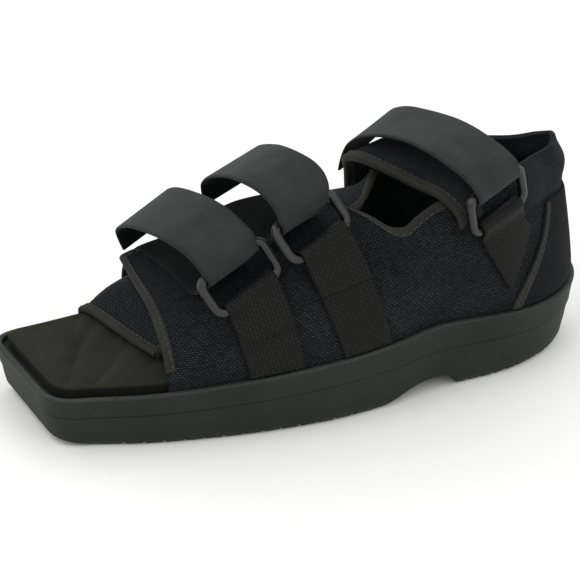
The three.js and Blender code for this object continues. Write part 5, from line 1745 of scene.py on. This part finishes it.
    def lower_layer(self, seat: RingSeat, far_x: float, wide: np.ndarray, shares: np.ndarray) -> list[np.ndarray]:
        """Gives the strap's hidden layer, from the far rim over the outer flap to its ring.

        Args:
            seat: The ring's place.
            far_x: Where the strap starts on the far side.
            wide: Direction of the strap's width.
            shares: Places across the strap.

        Returns:
            Rows of points across the strap.
        """
        last = self.bench.last
        lift = self.fit_gap + self.strap_thickness / 2 + self.layer_clear
        x = far_x + shares * self.strap_width * wide[0]
        edge = last.flap_edge(x)
        top = last.flap_top(x, edge)
        shoulder = np.where(np.isnan(top), last.crown_line(x), top) - 1.5 * lift
        rows = []
        for rise in np.arange(self.far_rows) / self.far_rows:
            z = mix(last.rim_top(x) + self.rim_clear, shoulder, rise)
            wall, _ = last.wall_beside(x, z, Side.FAR)
            y = np.minimum(wall[:, 1] - lift, (edge - 2 * lift) * rise - (1 - rise) * last.ball_width)
            y = wall[:, 1] - lift if rise == 0 else np.maximum(y, wall[:, 1] - 4 * lift)
            rows.append(np.column_stack([x, y, z]))
        for progress in np.arange(self.over_rows) / self.over_rows:
            over_x = mix(x, seat.high[0] + shares * self.strap_width * wide[0], progress)
            end_y = seat.high[1] - self.ring_bar + shares * self.strap_width * wide[1]
            over_y = mix(edge, end_y, progress)
            z = last.flap_top(over_x, over_y)
            z = np.where(np.isnan(z), last.crown_line(over_x), z) + lift
            rows.append(np.column_stack([over_x, over_y, z]))
        return rows

    def strap(self, seat: RingSeat) -> list[bpy.types.Object]:
        """Builds the strap: over the flap, round the ring and back in an open arch."""
        last = self.bench.last
        turn = self.ring_bar / 2 + self.fit_gap + self.strap_thickness / 2
        shares = np.linspace(-0.5, 0.5, 9)
        arch = smooth_rows(np.array(self.arch), 7)
        rows: list[np.ndarray] = []
        if self.layered:
            wide = axis_of_width(self.arch[-1][3], self.arch[0][4])
            far_x = seat.high[0] + (self.arch[-1][1] - self.far_setback) * last.ball_width
            rows += self.lower_layer(seat, far_x, wide, shares)
        start, stop = self.strap_turn
        if self.layered:
            start = self.layered_turn
        for angle in np.pi * np.linspace(start, stop, self.strap_turn_rows):
            at = seat.high - seat.outward * turn * math.cos(angle) - seat.side * turn * math.sin(angle)
            rows.append(at + shares[:, None] * self.strap_width * self.bunched * seat.bar)
        for across, forward, rise, yaw, slope in arch:
            at = seat.high + np.array([forward, -across, rise]) * last.ball_width
            rows.append(at + shares[:, None] * self.strap_width * axis_of_width(yaw, slope))
        band = Webbing(self.strap_width, self.strap_thickness)
        grid = np.stack(rows)
        body = band.body(grid, 3)
        piece = self.bench.make(f"strap_band_{self.number}", body, [self.finishes.nap, self.finishes.strap],
                                "strap_webbing", [f"strap_{self.number}"], 50)
        band.length(grid) * MM
        return [piece]

    def build(self) -> list[bpy.types.Object]:
        """Builds the ring, the keeper and the strap."""
        seat = self.seat()
        return [self.ring(seat), *self.keeper(seat), *self.strap(seat)]


@dataclass
class AnkleFlap:
    """The padded flap over the front of the ankle, bound along its lower edge."""

    bench: Bench
    finishes: Finishes
    middle_x: float = -52.0
    thickness: float = 4.0
    edge_share: float = 0.72
    padding: float = 0.38
    tape: float = 4.2
    rows: tuple[tuple[float, ...], ...] = (
        (0.110, -0.408, 0.640, -0.290, -0.425, 0.740), (0.130, -0.385, 0.780, -0.260, -0.395, 0.880),
        (0.170, -0.320, 0.880, -0.230, -0.330, 0.985), (0.165, -0.170, 0.935, -0.235, -0.180, 1.030),
        (0.120, 0.010, 0.945, -0.270, 0.000, 1.045), (0.070, 0.170, 0.940, -0.290, 0.150, 1.050),
        (0.020, 0.332, 0.940, -0.235, 0.317, 1.045), (-0.030, 0.416, 0.885, -0.150, 0.408, 0.940),
        (-0.045, 0.440, 0.825, -0.150, 0.442, 0.880),
    )

    def build(self) -> list[bpy.types.Object]:
        """Builds the flap with its binding and stitches."""
        last = self.bench.last
        scale = np.array([last.ball_width, last.ball_width, last.collar_height] * 2)
        fine = smooth_rows(np.array(self.rows), 9) * scale
        low, high = fine[:, :3] + [self.middle_x, 0, 0], fine[:, 3:] + [self.middle_x, 0, 0]
        steps = np.linspace(0, 1, 15)
        grid = mix(high[:, None], low[:, None], steps[None, :, None])
        width = float(np.linalg.norm(low - high, axis=1).mean())
        band = Webbing(width, self.thickness * self.edge_share, 25)
        body = band.body(grid.copy(), 1, self.padding)
        flap = self.bench.make("ankle_flap_pad", body, [self.finishes.lining, self.finishes.mesh], "flap_fabric",
                               ["ankle_flap"], 60)
        normal = unit(np.cross(np.gradient(grid, axis=1), np.gradient(grid, axis=0)))
        inward = unit(grid[:, -2] - grid[:, -1])
        near_edge = grid[:, -1][:, None] + inward[:, None] * np.linspace(self.tape, 0, 6)[None, :, None]
        out = -np.repeat(normal[:, -1][:, None], 6, axis=1)
        half = self.thickness * self.edge_share / 2
        run = np.concatenate([[0], np.cumsum(np.linalg.norm(np.diff(grid[:, -1], axis=0), axis=1))])
        binding = Binding(self.tape, wall=2 * half)
        if float(out[len(out) // 2, 0, 2]) < 0:
            out = -out
        tape = self.bench.make("ankle_flap_binding", binding.body(near_edge + out * half, out, run),
                               [self.finishes.tape], "flap_fabric", (), 50)
        seam = mix(near_edge[:, 1], near_edge[:, 2], 0.2) + out[:, 1] * (half + binding.thickness)
        thread = self.bench.make("ankle_flap_stitches", StitchRow().body(seam, out[:, 1]), [self.finishes.thread],
                                 "flap_fabric")
        return [flap, tape, thread]


TOE_ARCH = (
    (-0.040, 0.012, 0.044, 12, -26), (-0.003, 0.040, 0.086, 15, -21), (0.071, 0.074, 0.120, 14, -22),
    (0.182, 0.106, 0.128, 13, -23), (0.339, 0.131, 0.101, 12, -24), (0.479, 0.148, 0.064, 11, -25),
    (0.573, 0.155, 0.027, 10, -26), (0.662, 0.152, -0.024, 9, -26), (0.715, 0.140, -0.072, 8, -26),
    (0.740, 0.118, -0.128, 8, -26), (0.746, 0.096, -0.180, 8, -26),
)
INSTEP_ARCH = (
    (-0.040, 0.000, 0.030, 18, -17), (-0.048, 0.014, 0.080, 16, -15), (-0.020, 0.030, 0.122, 12, -16),
    (0.040, 0.052, 0.150, 10, -16), (0.140, 0.078, 0.154, 10, -16), (0.262, 0.096, 0.134, 10, -17),
    (0.356, 0.100, 0.102, 10, -18), (0.490, 0.102, 0.044, 9, -19), (0.585, 0.098, -0.020, 8, -20),
    (0.628, 0.088, -0.070, 8, -20), (0.646, 0.072, -0.128, 8, -20), (0.654, 0.060, -0.168, 8, -20),
)
ANKLE_ARCH = (
    (-0.030, 0.008, 0.046, 22, -11), (0.006, 0.034, 0.084, 20, -9), (0.090, 0.068, 0.116, 17, -8),
    (0.207, 0.102, 0.136, 13, -8), (0.342, 0.128, 0.134, 9, -9), (0.480, 0.154, 0.113, 7, -11),
    (0.600, 0.180, 0.083, 7, -15), (0.703, 0.200, 0.048, 8, -20), (0.800, 0.220, -0.012, 9, -26),
    (0.852, 0.228, -0.084, 10, -30), (0.876, 0.232, -0.156, 10, -32),
)


# Studio


def sight(azimuth: float, elevation: float) -> tuple[float, float, float]:
    """Gives the direction from the shoe to a viewer at an azimuth and elevation in radians."""
    flat = math.cos(elevation)
    return flat * math.sin(azimuth), -flat * math.cos(azimuth), math.sin(elevation)


@dataclass
class Studio:
    """The floor, the soft lights and the camera at the photograph's angle."""

    bench: Bench
    finishes: Finishes
    distance: float = 956.5
    azimuth: float = 155.52
    elevation: float = 27.87
    roll: float = 1.32
    target: tuple[float, float, float] = (10.84, 0.0, 46.25)
    lens: float = 120.05
    sensor: float = 36.0

    def camera(self) -> None:
        """Sets the camera that the photograph was fitted with."""
        a, e, r = (math.radians(v) for v in (self.azimuth, self.elevation, self.roll))
        data = bpy.data.cameras.new("studio_camera")
        data.lens, data.sensor_width, data.clip_start, data.clip_end = self.lens, self.sensor, 0.05, 20.0
        camera = bpy.data.objects.new("studio_camera", data)
        bpy.context.scene.collection.objects.link(camera)
        back = np.array(sight(a, e))
        aside = unit(np.cross([0, 0, 1], back))
        up = np.cross(back, aside)
        right = aside * math.cos(r) + up * math.sin(r)
        above = np.cross(back, right)
        place = self.bench.placed(np.array(self.target) + back * self.distance)
        frame = np.eye(4)
        frame[:3, 0], frame[:3, 1], frame[:3, 2], frame[:3, 3] = right, above, back, place
        camera.matrix_world = Matrix(frame.tolist())
        bpy.context.scene.camera = camera

    def floor(self) -> None:
        """Lays the pale floor."""
        half = 6.0
        mesh = bpy.data.meshes.new("studio_floor")
        mesh.from_pydata([(-half, -half, 0), (half, -half, 0), (half, half, 0), (-half, half, 0)], [], [(0, 1, 2, 3)])
        mesh.materials.append(self.finishes.floor)
        floor = bpy.data.objects.new("studio_floor", mesh)
        bpy.context.scene.collection.objects.link(floor)

    def lamp(self, name: str, azimuth: float, elevation: float, distance: float, size: float, power: float) -> None:
        """Adds one soft lamp that looks at the shoe."""
        data = bpy.data.lights.new(name, "AREA")
        data.shape, data.size, data.energy = "DISK", size, power
        lamp = bpy.data.objects.new(name, data)
        bpy.context.scene.collection.objects.link(lamp)
        back = np.array(sight(math.radians(azimuth), math.radians(elevation)))
        aside = unit(np.cross([0, 0, 1], back))
        frame = np.eye(4)
        frame[:3, 0], frame[:3, 1], frame[:3, 2] = aside, np.cross(back, aside), back
        frame[:3, 3] = np.array([0, 0, 0.05]) + back * distance
        lamp.matrix_world = Matrix(frame.tolist())

    def lights(self) -> None:
        """Sets the soft lights and the pale surroundings."""
        self.lamp("key_softbox", 105, 52, 1.5, 1.1, 4.5)
        self.lamp("front_softbox", 190, 38, 1.6, 1.2, 2.4)
        self.lamp("back_softbox", 330, 50, 1.7, 1.2, 2.4)
        world = bpy.data.worlds.new("studio_world")
        world.use_nodes = True
        world.node_tree.nodes["Background"].inputs[0].default_value = linear("#ffffff")
        world.node_tree.nodes["Background"].inputs[1].default_value = 1.0
        bpy.context.scene.world = world

    def build(self) -> None:
        """Sets the whole studio."""
        self.camera()
        self.floor()
        self.lights()
        bpy.context.scene.view_settings.view_transform = "Standard"


def main() -> None:
    """Builds the shoe piece by piece, then the studio."""
    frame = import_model()
    LOG.info("frame with %d nodes", len(frame["nodes"]))
    bench = Bench(ShoeLast())
    finishes = Finishes()
    SoleUnit(bench, finishes).build()
    Insole(bench, finishes).build()
    UpperShell(bench, finishes).build()
    HeelCounter(bench, finishes).build()
    AnkleFlap(bench, finishes).build()
    fastenings = (
        SideFastening(bench, finishes, 1, 0.162, 0.620, 12, -23.0, 28, 1.7, (0.091, 0, 0.182, 0), TOE_ARCH, True),
        SideFastening(bench, finishes, 2, 0.033, 0.770, 19, -15.5, 38, 2.8, (-0.064, 0, 0.024, 0), INSTEP_ARCH, True,
                      hang=3.0),
        SideFastening(bench, finishes, 3, -0.261, 0.820, 21, -12.5, 4, 1.9, (-0.338, 0.375, -0.296, 0.095),
                      ANKLE_ARCH, False),
    )
    for fastening in fastenings:
        fastening.build()
    Studio(bench, finishes).build()


if __name__ == "__main__":
    logging.basicConfig(level=logging.INFO, format="%(message)s")
    main()
